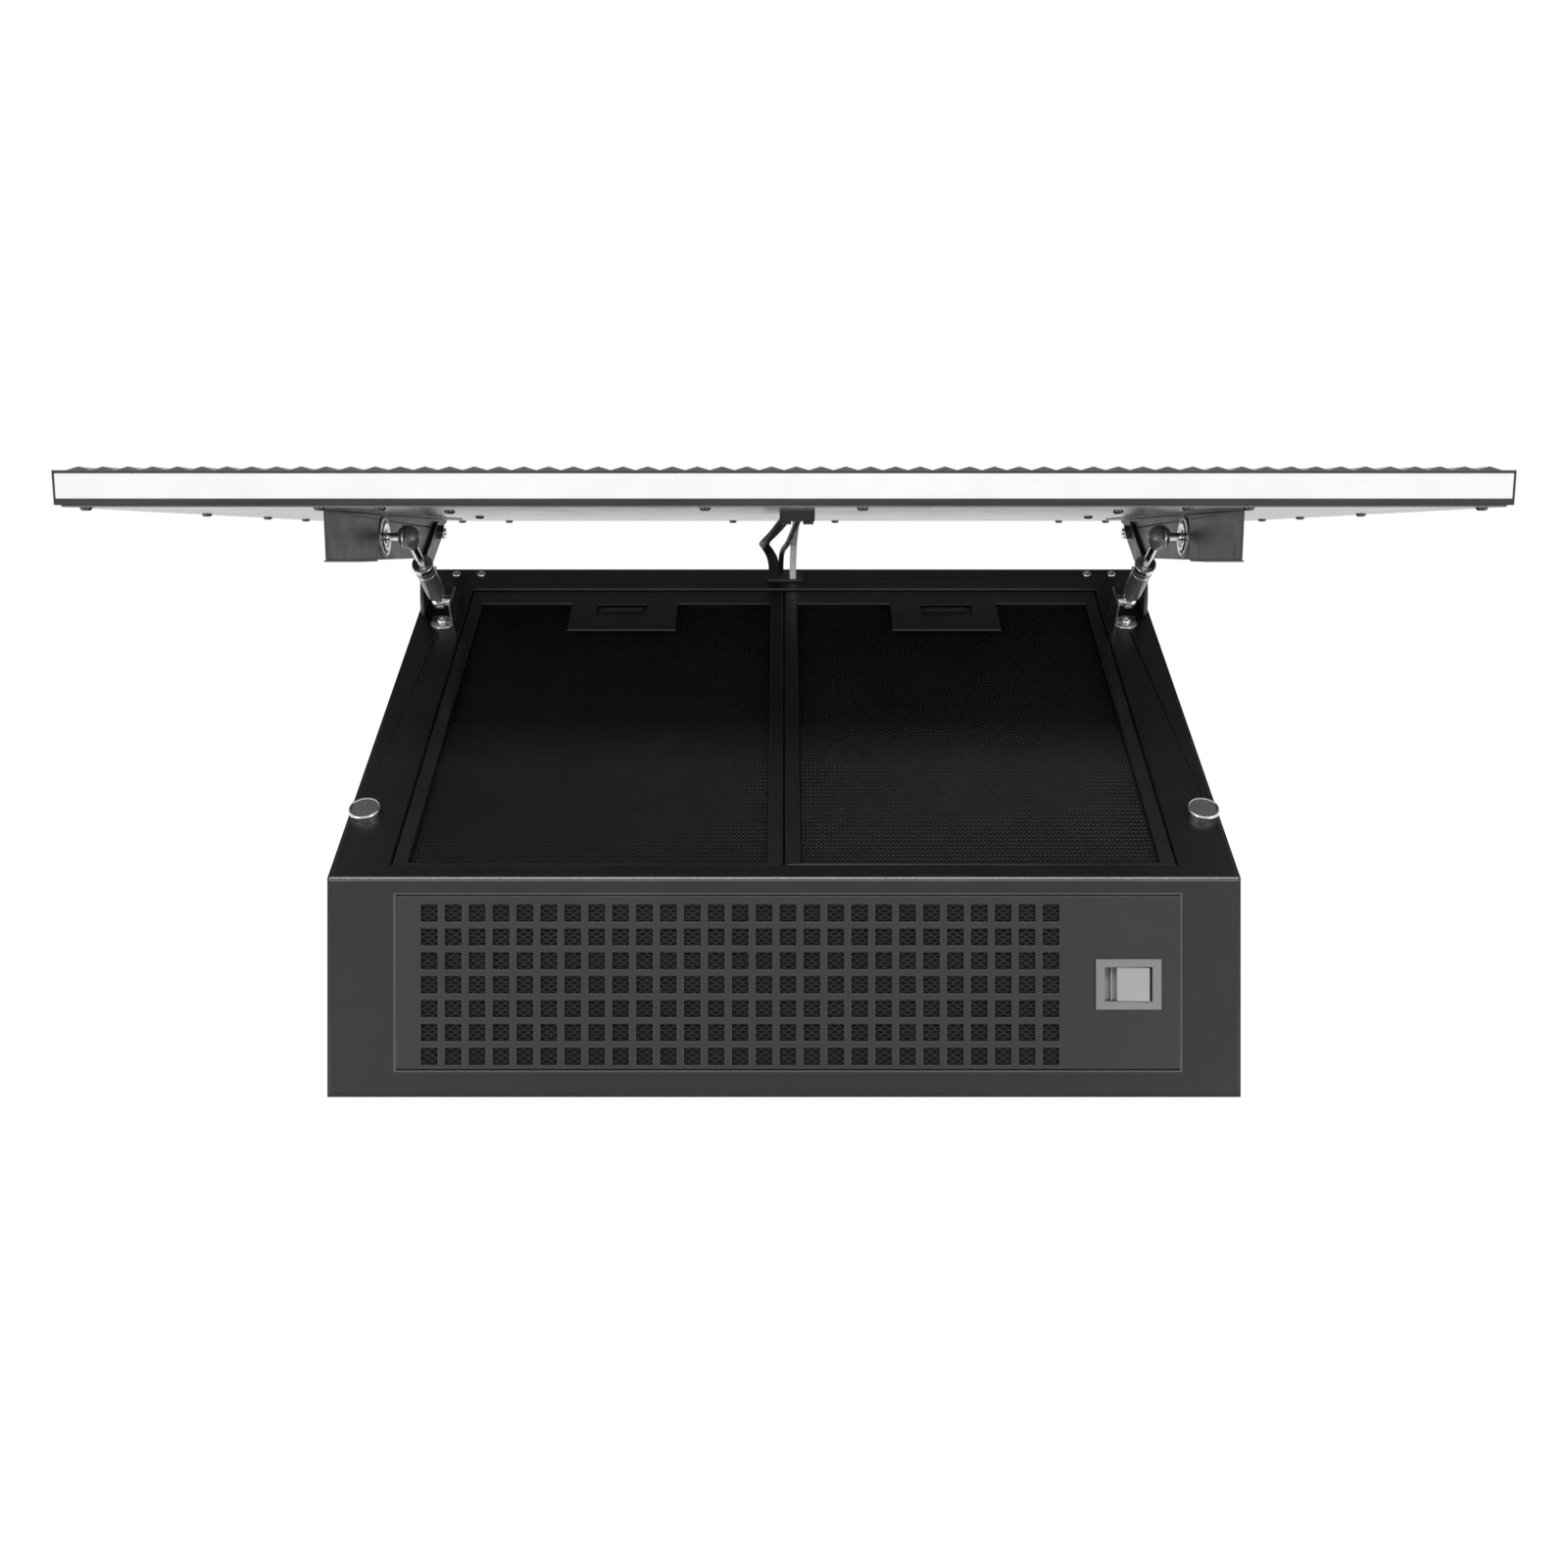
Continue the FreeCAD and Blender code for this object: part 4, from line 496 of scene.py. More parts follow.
# Leads: the routes are those of the CAD source, from the grommet down to the clamp, in millimetres.
# The lengths are in metres.
ROUTES = {
    "lead_sleeve": ((-8.3, -383.51, 139.09), (-8.3, -394.4, 130.28), (-14, -403, 121),
                    (-17.2, -404.5, 106), (-12.5, -402.5, 66), (-6.5, -400.5, 20), (-1, -398, -35),
                    (1.5, -395.5, -66), (2, -394.87, -81.18), (2, -391.45, -102.92)),
    "lead_black": ((-2.75, -386.03, 142.2), (-2.75, -396.92, 133.39), (-0.8, -402.5, 119.5),
                   (3, -401.5, 90), (10.4, -392.8, -80.86), (10.4, -389.37, -102.59)),
    "lead_white": ((7.5, -379.74, 134.42), (7.5, -390.63, 125.62), (7.8, -399, 112),
                   (8.2, -405.5, 86), (9.5, -396.26, -81.4), (9.5, -392.83, -103.13)),
}
LEAD_SPANS = 12
SLEEVE_WIDTH = 9
SLEEVE_THICKNESS = 3
LEAD_RADIUS = 2.3
RIBBON_WIDTH = 5.4
RIBBON_THICKNESS = 1.6
RIBBON_CORES = 3
CORE_STEPS = 6
CORE_BULGE_SHARE = 0.28
FLAT_POWER = 8


def smooth_line(name, route):
    """Points along the NURBS spline that has the route's points as its control points, in metres."""
    curve = bpy.data.curves.new(name, "CURVE")
    curve.dimensions = "3D"
    curve.resolution_u = LEAD_SPANS
    spline = curve.splines.new("NURBS")
    spline.points.add(len(route) - 1)
    for point, place in zip(spline.points, route):
        point.co = (*(Vector(place) * MM), 1)
    spline.order_u = 3
    spline.use_endpoint_u = True
    carrier = bpy.data.objects.new(name, curve)
    line = bpy.data.meshes.new_from_object(carrier)
    points = [corner.co.copy() for corner in line.vertices]
    bpy.data.objects.remove(carrier)
    return points


def swept(name, line, section):
    """A tube along a line; the section holds places across X and through the tube, in millimetres."""
    points = []
    for number, place in enumerate(line):
        before = line[max(number - 1, 0)]
        after = line[min(number + 1, len(line) - 1)]
        ahead = (after - before).normalized()
        through = ahead.cross(Vector((1, 0, 0))).normalized()
        points += [place + (Vector((across, 0, 0)) + through * inward) * MM for across, inward in section]
    return mesh_of(name, points, tube_faces(len(line), len(section)))


def flat_outline(width, thickness, cores):
    """A flat cable's outline: a row of cores that bulge on both faces."""
    steps = cores * CORE_STEPS
    upper = []
    for step in range(steps + 1):
        share = step / steps
        bulge = abs(math.sin(math.pi * share * cores))
        edge = math.sqrt(max(0.0, 1 - (2 * share - 1) ** FLAT_POWER))
        swell = 1 - CORE_BULGE_SHARE + CORE_BULGE_SHARE * bulge
        upper.append(((share - 0.5) * width, thickness / 2 * edge * swell))
    lower = [(across, -inward) for across, inward in reversed(upper[1:-1])]
    return upper + lower


def make_lead(node, name, section):
    line = smooth_line(name, ROUTES[node])
    tube = finish_piece(name, swept(name, line, section), slot_of[node], "casing", [node], blended=True)
    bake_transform(tube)


make_lead("lead_sleeve", "sleeve_lead", flat_outline(SLEEVE_WIDTH, SLEEVE_THICKNESS, cores=1))
make_lead("lead_black", "black_lead", round_outline(LEAD_RADIUS))
make_lead("lead_white", "white_lead", flat_outline(RIBBON_WIDTH, RIBBON_THICKNESS, RIBBON_CORES))

# Screws: pan heads with a cross recess, set where the CAD solids are. Profiles hold (radius, height).
HEAD_HEIGHT = 2.2
HEAD_RINGS = ((0, 2.0), (0.5, 2.0), (1.0, 2.05), (1.5, 2.1), (1.9, 2.1), (2.1, 2.08), (2.6, 1.95),
              (3.1, 1.6), (3.45, 1.05), (3.6, 0.4), (3.6, 0), (0, 0))
SHANK_PROFILE = ((0, 0.1), (1.5, 0.1), (1.5, -2.2), (1.1, -2.6), (0, -2.6))
WASHER_PROFILE = ((2, 0), (6.9, 0), (7.5, 0.25), (7.5, 0.6), (7.1, 0.8), (2, 0.8), (2, 0))
SHANK_SEGMENTS = 24
RECESS_RINGS = 5
RECESS_CORE = 0.7
RECESS_RUN_OUT = 3
RECESS_DEPTH = 1.1
RECESS_ARM_HALF = 14
QUARTER_TURN = 90
SPIN_PER_MM = 7
ABOVE_ROOF = 1
WIDEST_HEAD = 10


def screw_head(place):
    """A pan head whose cross recess is sunk into the rings near its axis."""
    points = []
    for number, (radius, height) in enumerate(HEAD_RINGS):
        for step in range(TURN_SEGMENTS):
            degrees = 4 * QUARTER_TURN * step / TURN_SEGMENTS
            off_arm = abs((degrees + QUARTER_TURN / 2) % QUARTER_TURN - QUARTER_TURN / 2)
            in_cross = off_arm <= RECESS_ARM_HALF or radius < RECESS_CORE
            sunk = number < RECESS_RINGS and in_cross
            level = height - RECESS_DEPTH * (1 - radius / RECESS_RUN_OUT) if sunk else height
            points.append(point_round(place, radius, math.radians(degrees), level))
    return points, ring_faces(len(HEAD_RINGS), TURN_SEGMENTS)


def screw_set(name, places, slot, body, replaced, extra=()):
    """All the screws of one CAD node, each with its head and its shank, and extra turned solids."""
    heads = [screw_head(place) for place in places]
    shanks = [lathe(place, SHANK_PROFILE, SHANK_SEGMENTS) for place in places]
    others = [lathe(place, profile) for place, profile in extra]
    finish_piece(name, mesh_of(name, *joined(heads + shanks + others)), slot, body, replaced)


def upright(place, box, out):
    """Where a screw stands: on the middle of its solid, with its seat one head below the tip."""
    low, high = box
    tip = high.z if out > 0 else low.z
    seat = tip - out * HEAD_HEIGHT
    spin = Matrix.Rotation(math.radians((low.x + low.y) * SPIN_PER_MM % QUARTER_TURN), 4, "Z")
    flip = Matrix() if out > 0 else FACING_BACK
    return centred(place, low, high, seat) @ flip @ spin


def make_cover_screws():
    places = [upright(panel, box, -1) for box in solid_boxes("back_screws", panel)]
    screw_set("cover_screws", places, "screw_dark", "panel", ["back_screws"])


def make_casing_screws():
    """Those that stand above the roof are dark, and those at the head of the slant are bright."""
    roof_places = []
    front_places = []
    for island in islands("casing_screws"):
        box = box_in(row, island)
        if box[1].z > BODY_HEIGHT / 2 + ABOVE_ROOF:
            roof_places.append(upright(row, box, 1))
        else:
            front_places.append(upright(slant, box_in(slant, island), 1))
    screw_set("roof_screws", roof_places, "screw_dark", "casing", ["casing_screws"])
    screw_set("front_screws", front_places, "bright_metal", "casing", ["casing_screws"])


def make_foot_screws():
    """The screws of the strut feet and their washers, which are the wider solids."""
    heads = []
    washers = []
    for low, high in solid_boxes("strut_foot_screws", slant):
        if high.x - low.x < WIDEST_HEAD:
            heads.append(upright(slant, (low, high), 1))
        else:
            washers.append((centred(slant, low, high, low.z), WASHER_PROFILE))
    screw_set("foot_screws", heads, "bright_metal", "casing", ["strut_foot_screws"], washers)


make_cover_screws()
make_casing_screws()
make_foot_screws()

# Bumpers: a rolled rim round a magnet
CUP_PROFILE = ((0, 0), (10.8, 0), (11, 0.3), (11, 3.7), (10.8, 4.5), (10.3, 4.95), (9.8, 4.9), (9.45, 4.5),
               (9.4, 3.9), (9.4, 1.2), (0, 1.2))
MAGNET_PROFILE = ((0, 1.2), (9.35, 1.2), (9.35, 3.5), (9.1, 4.0), (8.6, 4.2), (0, 4.2))


def make_bumpers():
    places = [centred(slant, low, high, low.z) for low, high in solid_boxes("bumper_cups", slant)]
    cups = turned("bumper_rims", [(place, CUP_PROFILE) for place in places])
    finish_piece("bumper_rims", cups, "bright_metal", "casing", ["bumper_cups"])
    magnets = turned("bumper_faces", [(place, MAGNET_PROFILE) for place in places])
    finish_piece("bumper_faces", magnets, "magnet_grey", "casing", ["bumper_magnets"])


make_bumpers()

# Gas struts: rolled tube with bright ends, ball socket with its clip, and dished plate
TUBE_PROFILE = ((6.1, 59), (7.5, 59), (7.5, 16), (7.4, 14.2), (6.1, 14.2), (6.1, 59))
COLLAR_PROFILE = ((3.4, 59), (3.4, 65), (6.4, 65), (7.7, 64.7), (8.3, 64), (8.4, 63.2), (8.4, 61.2),
                  (8.1, 60.2), (7.6, 59.4), (7.3, 59), (3.4, 59))
END_PROFILE = ((0, 14.2), (7.4, 14.2), (6.8, 12.6), (5.8, 11.5), (4.9, 11), (4.6, 10.4), (4.6, 5.2),
               (0, 5.2))
EYE_PROFILE = ((3.05, -4), (5.6, -4), (6.3, -3.7), (6.5, -3), (6.5, 3), (6.3, 3.7), (5.6, 4), (3.05, 4),
               (3.05, -4))
NECK_PROFILE = ((3.1, 0), (4.2, 0), (4.6, 0.4), (4.6, 3), (4.2, 4.2), (4.5, 5.4), (4.6, 8), (3.1, 8),
                (3.1, 0))
DISH_PROFILE = ((0, 0), (15.2, 0), (15.5, 0.3), (15.45, 0.7), (15, 1), (13.2, 1), (11.8, 1.15), (10.9, 1.7),
                (10.3, 2), (9, 2), (7.6, 1.7), (6.4, 1.2), (5.2, 1.15), (4.6, 1.5), (4.2, 1.9), (3.8, 2),
                (0, 2))
NECK_START = 13
BEAD_ALONG = 52
BEAD_RADIUS = 7.35
BEAD_WIRE = 0.45
SOCKET_RADIUS = 8.6
SOCKET_BORE = 4.8
SOCKET_MOUTH_ANGLE = 142
SOCKET_STEPS = 18
CLIP_HEIGHT = 3.2
CLIP_WIRE = 0.6
WIRE_STEPS = 12


def wire_ring(radius, height, wire):
    """The profile of a ring of round wire."""
    turns = [2 * math.pi * step / WIRE_STEPS for step in range(WIRE_STEPS + 1)]
    return [(radius + wire * math.cos(turn), height + wire * math.sin(turn)) for turn in turns]


def ball_shell():
    """The profile of a hollow ball that is open on one side."""
    turns = [math.radians(SOCKET_MOUTH_ANGLE * step / SOCKET_STEPS) for step in range(SOCKET_STEPS + 1)]
    outside = [(SOCKET_RADIUS * math.sin(turn), -SOCKET_RADIUS * math.cos(turn)) for turn in turns]
    inside = [(SOCKET_BORE * math.sin(turn), -SOCKET_BORE * math.cos(turn)) for turn in reversed(turns)]
    return outside + inside


def make_strut(side, sign):
    along = strut @ shift(sign * STRUT_PLANE, 0, 0)
    across = ONTO_X[sign]
    tube_node = f"strut_tube_{side}"
    socket_node = f"strut_socket_{side}"
    tube = turned(f"gas_tube_{side}", [(along @ ONTO_Y, TUBE_PROFILE)])
    finish_piece(f"gas_tube_{side}", tube, "dark_metal", f"tube_{side}", [tube_node], shade="strut_grey")
    bead = wire_ring(BEAD_RADIUS, BEAD_ALONG, BEAD_WIRE)
    ends = turned(f"tube_ends_{side}", [(along @ ONTO_Y, COLLAR_PROFILE), (along @ ONTO_Y, bead),
                                        (along @ ONTO_Y, END_PROFILE), (along @ across, EYE_PROFILE)])
    finish_piece(f"tube_ends_{side}", ends, "bright_metal", f"tube_{side}", [tube_node])
    at_ball = along @ shift(0, strut_reach, 0) @ across
    at_neck = along @ shift(0, strut_reach - NECK_START, 0) @ ONTO_Y
    socket = turned(f"ball_socket_{side}", [(at_ball, ball_shell()), (at_neck, NECK_PROFILE)])
    finish_piece(f"ball_socket_{side}", socket, "dark_metal", f"rod_{side}", [socket_node],
                 shade="strut_grey")
    clip_radius = math.sqrt(SOCKET_RADIUS ** 2 - CLIP_HEIGHT ** 2)
    clip = turned(f"socket_clip_{side}", [(at_ball, wire_ring(clip_radius, CLIP_HEIGHT, CLIP_WIRE))])
    finish_piece(f"socket_clip_{side}", clip, "bright_metal", f"rod_{side}", [socket_node])


def make_dishes():
    """The strut plates, pressed into dishes on the faces that turn away from the hood's middle."""
    parts = []
    for low, high in solid_boxes("strut_plates", panel):
        sign = 1 if low.x > 0 else -1
        seat = high.x if sign > 0 else low.x
        middle = panel @ shift(seat, (low.y + high.y) / 2, (low.z + high.z) / 2)
        parts.append((middle @ ONTO_X[-sign], DISH_PROFILE))
    finish_piece("strut_dishes", turned("strut_dishes", parts), "bright_metal", "panel", ["strut_plates"])


for side, sign in SIDES:
    make_strut(side, sign)
make_dishes()

# Filters and the grille's pad. Expanded metal is rows of zigzag strands that meet their neighbours
# at every second bend: step is the bends' spacing, and ridge the rise of every second one.
FILTER_NET = {"step": 1.425, "row_pitch": 2, "strand": 0.7, "thickness": 0.45, "ridge": 0.8}
GRILLE_NET = {"step": 3.0, "row_pitch": 2.15, "strand": 0.75, "thickness": 0.5, "ridge": 0.35}
PLEAT_STEP = 2.85
PLEAT_FLOOR = 0.5
PLEAT_RISE = 0.7
PLEAT_THICKNESS = 0.4
PLEAT_SHARP_ANGLE = 20
FELT_STEP = 4.0
FELT_SWELL = 0.12
FELT_SINK = 1.15
FELT_WAVES = ((1.7, 0.6), (-0.9, 2.3))


def expanded_sheet(name, place, x, y, top, step, row_pitch, strand, thickness, ridge):
    """A sheet of expanded metal between two X and two Y places, under a top level. The strands touch,
    but they aren't welded."""
    columns = int((x[1] - x[0]) / step)
    rows = int((y[1] - y[0]) / row_pitch)
    floor = top - ridge - thickness / 2
    points = []
    faces = []
    for row_number in range(rows):
        first = len(points)
        middle = y[0] + (row_number + 0.5) * row_pitch
        for column in range(columns + 1):
            swing = 1 if (column + row_number) % 2 else -1
            across = x[0] + (x[1] - x[0]) * column / columns
            bend = middle + swing * (row_pitch - strand) / 2
            level = floor + ridge * (column % 2)
            lean = swing * thickness / 2
            section = ((bend - strand / 2, level - thickness + lean),
                       (bend + strand / 2, level - thickness - lean),
                       (bend + strand / 2, level - lean),
                       (bend - strand / 2, level + lean))
            points += section_at(place, across, section)
        faces += tube_faces(columns + 1, len(section), first)
    mesh = bpy.data.meshes.new(name)
    mesh.from_pydata(points, [], faces)
    return mesh


def pleated_sheet(name, place, low, high):
    """A thin sheet in a box, folded to and fro along X."""
    folds = int((high.x - low.x) / PLEAT_STEP)
    points = []
    for fold in range(folds + 1):
        across = low.x + (high.x - low.x) * fold / folds
        level = low.z + PLEAT_FLOOR + PLEAT_RISE * (fold % 2)
        section = ((low.y, level), (high.y, level), (high.y, level - PLEAT_THICKNESS),
                   (low.y, level - PLEAT_THICKNESS))
        points += section_at(place, across, section)
    return mesh_of(name, points, tube_faces(folds + 1, len(section)))


def felt_sheet(name, place, x, y, level):
    """A thin felted sheet, slightly uneven all over."""
    columns = int((x[1] - x[0]) / FELT_STEP)
    rows = int((y[1] - y[0]) / FELT_STEP)
    points = []
    for line in range(rows + 1):
        for column in range(columns + 1):
            swell = sum(math.sin(column * across + line * along) for across, along in FELT_WAVES)
            corner = (x[0] + (x[1] - x[0]) * column / columns, y[0] + (y[1] - y[0]) * line / rows,
                      level + FELT_SWELL * swell)
            points.append(place @ (Vector(corner) * MM))
    faces = []
    for line in range(rows):
        for column in range(columns):
            low = line * (columns + 1) + column
            faces.append((low, low + 1, low + columns + 2, low + columns + 1))
    return mesh_of(name, points, faces)


def make_filter_mesh(side):
    """The expanded sheet over a folded one that lies across it; the folded one takes a darker copy of the
    mesh's coat, as painted shade behind the net.
    """
    node = f"filter_mesh_{side}"
    low, high = solid_boxes(node, slant)[0]
    net = expanded_sheet(f"filter_net_{side}", slant, (low.x, high.x), (low.y, high.y), high.z,
                         **FILTER_NET)
    finish_piece(f"filter_net_{side}", net, "mesh_black", f"filter_{side}", [node])
    pleats = pleated_sheet(f"filter_pleats_{side}", slant, low, high)
    finish_piece(f"filter_pleats_{side}", pleats, "mesh_black", f"filter_{side}", [node],
                 sharp=PLEAT_SHARP_ANGLE, shade="mesh_painted_shade")


def make_grille_pad():
    """The net and the felt behind the grille's holes, laid out in a frame that faces down."""
    low, high = solid_boxes("grille_pad", row)[0]
    x = (low.x, high.x)
    y = (-high.y, -low.y)
    net = expanded_sheet("grille_net", FACING_BACK, x, y, -low.z, **GRILLE_NET)
    finish_piece("grille_net", net, "mesh_black", "casing", ["grille_pad"])
    felt = felt_sheet("grille_felt", FACING_BACK, x, y, -low.z - FELT_SINK)
    finish_piece("grille_felt", felt, "pad_black", "casing", ["grille_pad"])


for side, _ in SIDES:
    make_filter_mesh(side)
make_grille_pad()

# Light band: an opal lens, and the frame's dark lip that holds it along its back edge
LIP_WIDTH = 2
LENS_ROUNDING = 0.4


def make_light_band():
    low, high = solid_boxes("light_diffuser", panel)[0]
    lip_edge = low.z + LIP_WIDTH
    inset = low.y + LENS_ROUNDING
    lens = bar("light_lens", panel, (low.x, high.x), (
        (inset, lip_edge), (low.y, lip_edge + LENS_ROUNDING), (low.y, high.z - LENS_ROUNDING),
        (inset, high.z), (high.y, high.z), (high.y, lip_edge)))
    finish_piece("light_lens", lens, "band_white", "panel", ["light_diffuser"])
    lip = bar("lens_lip", panel, (low.x, high.x), (
        (low.y, low.z), (low.y, lip_edge - LENS_ROUNDING), (inset, lip_edge), (high.y, lip_edge),
        (high.y, low.z)))
    finish_piece("lens_lip", lip, slot_of["panel_frame"], "panel", ["light_diffuser"])


make_light_band()

# Folds of the front shell: a hem over the back panel's lower edge, the rolled top of its opening,
# the rim round the grille, and the glossy skin of the bend between underside and slant. All but the hem
# take a lighter copy of the black paint, as painted highlight lines
shell_low, shell_high = solid_boxes("front_shell", row)[0]
SKIN = 0.15
SKIN_SINK = 0.05
HEM_COVER = 2.2
OPENING_TOP = 359.4
PAN_LIP = 6
RIM_CLEARANCE = 0.05
RIM_SIDE = 1.5
RIM_END_GAP = 1
RIM_END = 1.9
RIM_BEVEL = 0.1
BEND_RUN_OUT = 0.9
BEND_STEPS = 10

# Folds of the filters: the tops of their windows, which the latch's tab divides, and the tab's edge,
# in the lighter copy of the black paint that paints their highlight lines
ROLL_RADIUS = 0.8
ROLL_CORNERS = 12
TAB_INNER = 88
TAB_OUTER = 176
TAB_LENGTH = 40.5


def make_hem():
    below = shell_low.z - SKIN
    hem = bar("shell_hem", row, (shell_low.x, shell_high.x), (
        (-HEM_COVER, shell_low.z), (-HEM_COVER + SKIN, below), (-SKIN, below), (0, shell_low.z)))
    finish_piece("shell_hem", hem, slot_of["front_shell"], "casing")


def roll(name, x, along, out, slot, body):
    """A rolled edge along X in the slant frame, which catches the light and whose lighter copy of the black
    paint is a painted highlight.
    """
    outline = [(along + across, out + up) for across, up in round_outline(ROLL_RADIUS, ROLL_CORNERS)]
    finish_piece(name, bar(name, slant, x, outline), slot, body, shade="painted_highlight_black")


def make_opening_roll():
    inner = solid_boxes("filter_frame_left", slant)[0][0].x
    roll("opening_roll", (inner, -inner), OPENING_TOP, -ROLL_RADIUS / 2, slot_of["front_shell"], "casing")


def make_filter_rolls(side, sign):
    frame_top = solid_boxes(f"filter_frame_{side}", slant)[0][1].z
    low, high = solid_boxes(f"filter_mesh_{side}", slant)[0]
    tab_left, tab_right = sorted((sign * TAB_INNER, sign * TAB_OUTER))
    slot = slot_of[f"filter_frame_{side}"]
    body = f"filter_{side}"
    window_top = high.y - ROLL_RADIUS / 2
    sunk = frame_top - ROLL_RADIUS / 4
    roll(f"window_roll_a_{side}", (low.x, tab_left), window_top, sunk, slot, body)
    roll(f"window_roll_b_{side}", (tab_right, high.x), window_top, sunk, slot, body)
    roll(f"tab_roll_{side}", (tab_left, tab_right), high.y - TAB_LENGTH, sunk, slot, body)


def make_grille_rim():
    """Four mitred sides round the grille's pan, on the underside of the shell, in a lighter copy of the
    black paint that paints a highlight line round the grille.
    """
    low, high = solid_boxes("grille_panel", row)[0]
    seat = shell_low.z
    rings = [(RIM_SIDE, RIM_END, seat), (RIM_SIDE - RIM_BEVEL, RIM_END - RIM_BEVEL, seat - SKIN),
             (RIM_CLEARANCE, RIM_END_GAP, seat - SKIN), (RIM_CLEARANCE, RIM_END_GAP, seat)]
    points = []
    for beside, beyond, level in rings + rings[:1]:
        left, right = low.x + PAN_LIP - beside, high.x - PAN_LIP + beside
        back, front = low.y + PAN_LIP - beyond, high.y - PAN_LIP + beyond
        corners = ((left, back), (right, back), (right, front), (left, front))
        points += [Vector((*corner, level)) * MM for corner in corners]
    rim = mesh_of("grille_rim", points, ring_faces(len(rings) + 1, len(corners)))
    finish_piece("grille_rim", rim, slot_of["front_shell"], "casing", shade="painted_highlight_black")


def make_bend_painted_highlight():
    """A glossy skin over the bend, which runs out on the underside, in a lighter copy of the black paint: a
    painted highlight along the bend.
    """
    turn = math.radians(90 - slant_angle)
    middle_y = -BASE_DEPTH + BEND_RADIUS * math.tan(turn / 2)
    middle_z = shell_low.z + BEND_RADIUS
    turns = [turn * step / BEND_STEPS for step in range(BEND_STEPS + 1)]
    outer, inner = ([(middle_y - radius * math.sin(angle), middle_z - radius * math.cos(angle))
                     for angle in turns] for radius in (BEND_RADIUS + SKIN, BEND_RADIUS - SKIN_SINK))
    run_out = (middle_y + BEND_RUN_OUT, shell_low.z)
    shine = bar("bend_painted_highlight", row, (shell_low.x, shell_high.x), [run_out] + outer + inner[::-1])
    finish_piece("bend_painted_highlight", shine, slot_of["front_shell"], "casing", shade="painted_highlight_black")


make_hem()
make_opening_roll()
for side, sign in SIDES:
    make_filter_rolls(side, sign)
make_grille_rim()
make_bend_painted_highlight()

# CAD nodes that show sharp edges to the camera, with the width of their rounding in millimetres
SOFT_EDGES = {
    "front_shell": 0.55, "filter_tray": 0.3, "grille_panel": 0.5, "switch_housing": 0.8,
    "switch_rocker": 0.4, "hinge_arms": 0.5, "hinge_arm_bolts": 0.4, "panel_pivot_bolts": 0.4,
    "strut_feet": 0.5, "cable_clamp": 0.8, "cable_grommet": 0.3, "back_cover": 0.3, "panel_frame": 0.3,
}
SOFT_EDGES_BY_SIDE = {"filter_frame": 0.95, "filter_latch": 0.3, "cheek": 0.3, "side_panel": 0.3}
SOFT_WELD = 0.00001
SOFT_SEGMENTS = 2
SOFT_ANGLE = 40


def soften(node, width):
    """Rounds a CAD node's sharp edges a little, so that they catch the light."""
    weld = nodes[node].modifiers.new("weld", "WELD")
    weld.merge_threshold = SOFT_WELD
    bevel = nodes[node].modifiers.new("bevel", "BEVEL")
    bevel.width = width * MM
    bevel.segments = SOFT_SEGMENTS
    bevel.limit_method = "ANGLE"
    bevel.angle_limit = math.radians(SOFT_ANGLE)
    bevel.harden_normals = True


for node, width in SOFT_EDGES.items():
    soften(node, width)
for kind, width in SOFT_EDGES_BY_SIDE.items():
    for side, _ in SIDES:
        soften(f"{kind}_{side}", width)

# Floor, world and lamps, in metres. Each lamp has a place, a size and a power in watts.
AMBIENT = 0.45
FLOOR_REACH = 6
FLOOR_LEVEL = -1.6
FLOOR_COLOUR = (0.85, 0.85, 0.85, 1)
FLOOR_ROUGHNESS = 0.8
FLOOR_GLOW_SHARE = 0.9
HOOD_MIDDLE = (0, -0.22, 0)
LAMPS = {
    "front_softbox": ((0, -1.25, -1.35), (1.8, 0.35), 19),
    "left_softbox": ((-1.4, 0.5, -1.0), (0.5, 1.2), 9),
    "right_softbox": ((1.4, 0.5, -1.0), (0.5, 1.2), 9),
    "top_softbox": ((0, -2.0, 1.6), (1.5, 1.5), 18),
}


def light_paths(tree):
    """A factor that is 1 for what the camera, mirrors and glass see, and 0 for the light on things."""
    path = tree.nodes.new("ShaderNodeLightPath")
    seen = path.outputs["Is Camera Ray"]
    for kind in ("Is Glossy Ray", "Is Transmission Ray"):
        larger = tree.nodes.new("ShaderNodeMath")
        larger.operation = "MAXIMUM"
        tree.links.new(seen, larger.inputs[0])
        tree.links.new(path.outputs[kind], larger.inputs[1])
        seen = larger.outputs["Value"]
    return seen


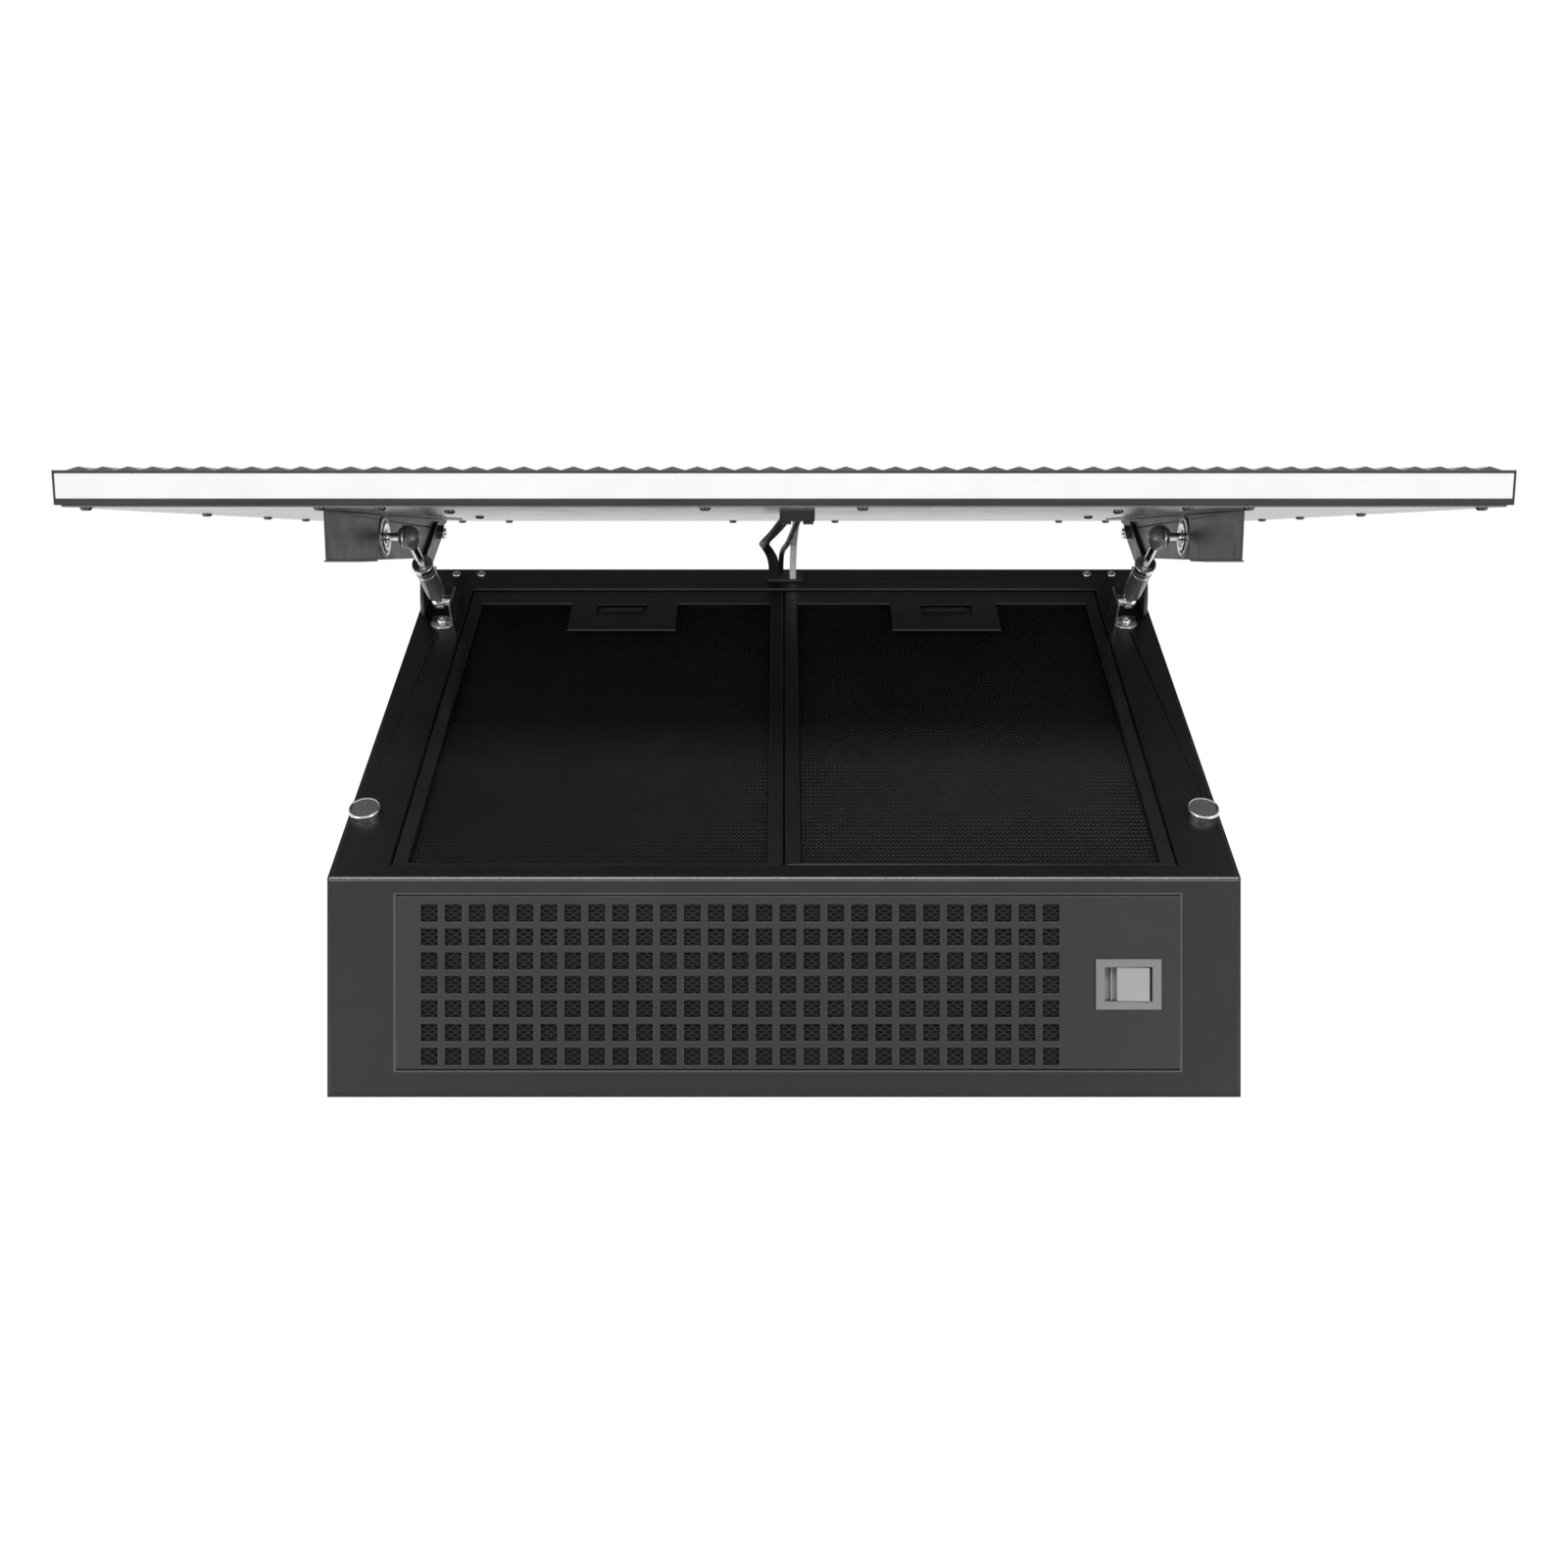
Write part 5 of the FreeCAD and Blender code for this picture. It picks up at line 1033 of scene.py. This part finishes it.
def make_world():
    """White where it is seen, and dimmer as the light that falls on the hood."""
    world = bpy.data.worlds.new("studio")
    bpy.context.scene.world = world
    world.use_nodes = True
    tree = world.node_tree
    strength = tree.nodes.new("ShaderNodeMapRange")
    strength.inputs["To Min"].default_value = AMBIENT
    strength.inputs["To Max"].default_value = 1.0
    tree.links.new(light_paths(tree), strength.inputs["Value"])
    background = tree.nodes["Background"]
    background.inputs["Color"].default_value = (1, 1, 1, 1)
    tree.links.new(strength.outputs["Result"], background.inputs["Strength"])


def floor_finish():
    """Matt and pale, with a glow over it where it is seen, which still leaves the object's shadow."""
    finish = bpy.data.materials.new("floor_pale")
    finish.use_nodes = True
    tree = finish.node_tree
    matt = tree.nodes["Principled BSDF"]
    matt.inputs["Base Color"].default_value = FLOOR_COLOUR
    matt.inputs["Roughness"].default_value = FLOOR_ROUGHNESS
    glow = tree.nodes.new("ShaderNodeEmission")
    mix = tree.nodes.new("ShaderNodeMixShader")
    glow_share = tree.nodes.new("ShaderNodeMath")
    glow_share.operation = "MULTIPLY"
    glow_share.inputs[1].default_value = FLOOR_GLOW_SHARE
    tree.links.new(light_paths(tree), glow_share.inputs[0])
    tree.links.new(glow_share.outputs["Value"], mix.inputs["Fac"])
    tree.links.new(matt.outputs["BSDF"], mix.inputs[1])
    tree.links.new(glow.outputs["Emission"], mix.inputs[2])
    tree.links.new(mix.outputs["Shader"], tree.nodes["Material Output"].inputs["Surface"])
    return finish


def make_floor():
    """A pale floor below the camera."""
    mesh = bpy.data.meshes.new("floor")
    square = ((-1, -1), (1, -1), (1, 1), (-1, 1))
    corners = [(x * FLOOR_REACH, y * FLOOR_REACH, FLOOR_LEVEL) for x, y in square]
    mesh.from_pydata(corners, [], [tuple(range(len(corners)))])
    mesh.materials.append(floor_finish())
    floor = bpy.data.objects.new("floor", mesh)
    bpy.context.collection.objects.link(floor)


def make_lamp(name, place, size, power):
    """An area lamp that faces the hood's middle."""
    data = bpy.data.lights.new(name, "AREA")
    data.shape = "RECTANGLE"
    data.size, data.size_y = size
    data.energy = power
    lamp = bpy.data.objects.new(name, data)
    lamp.location = place
    lamp.rotation_euler = (Vector(HOOD_MIDDLE) - Vector(place)).to_track_quat("-Z", "Y").to_euler()
    bpy.context.collection.objects.link(lamp)


make_world()
make_floor()
for name, (place, size, power) in LAMPS.items():
    make_lamp(name, place, size, power)

bpy.context.scene.view_settings.view_transform = "Standard"
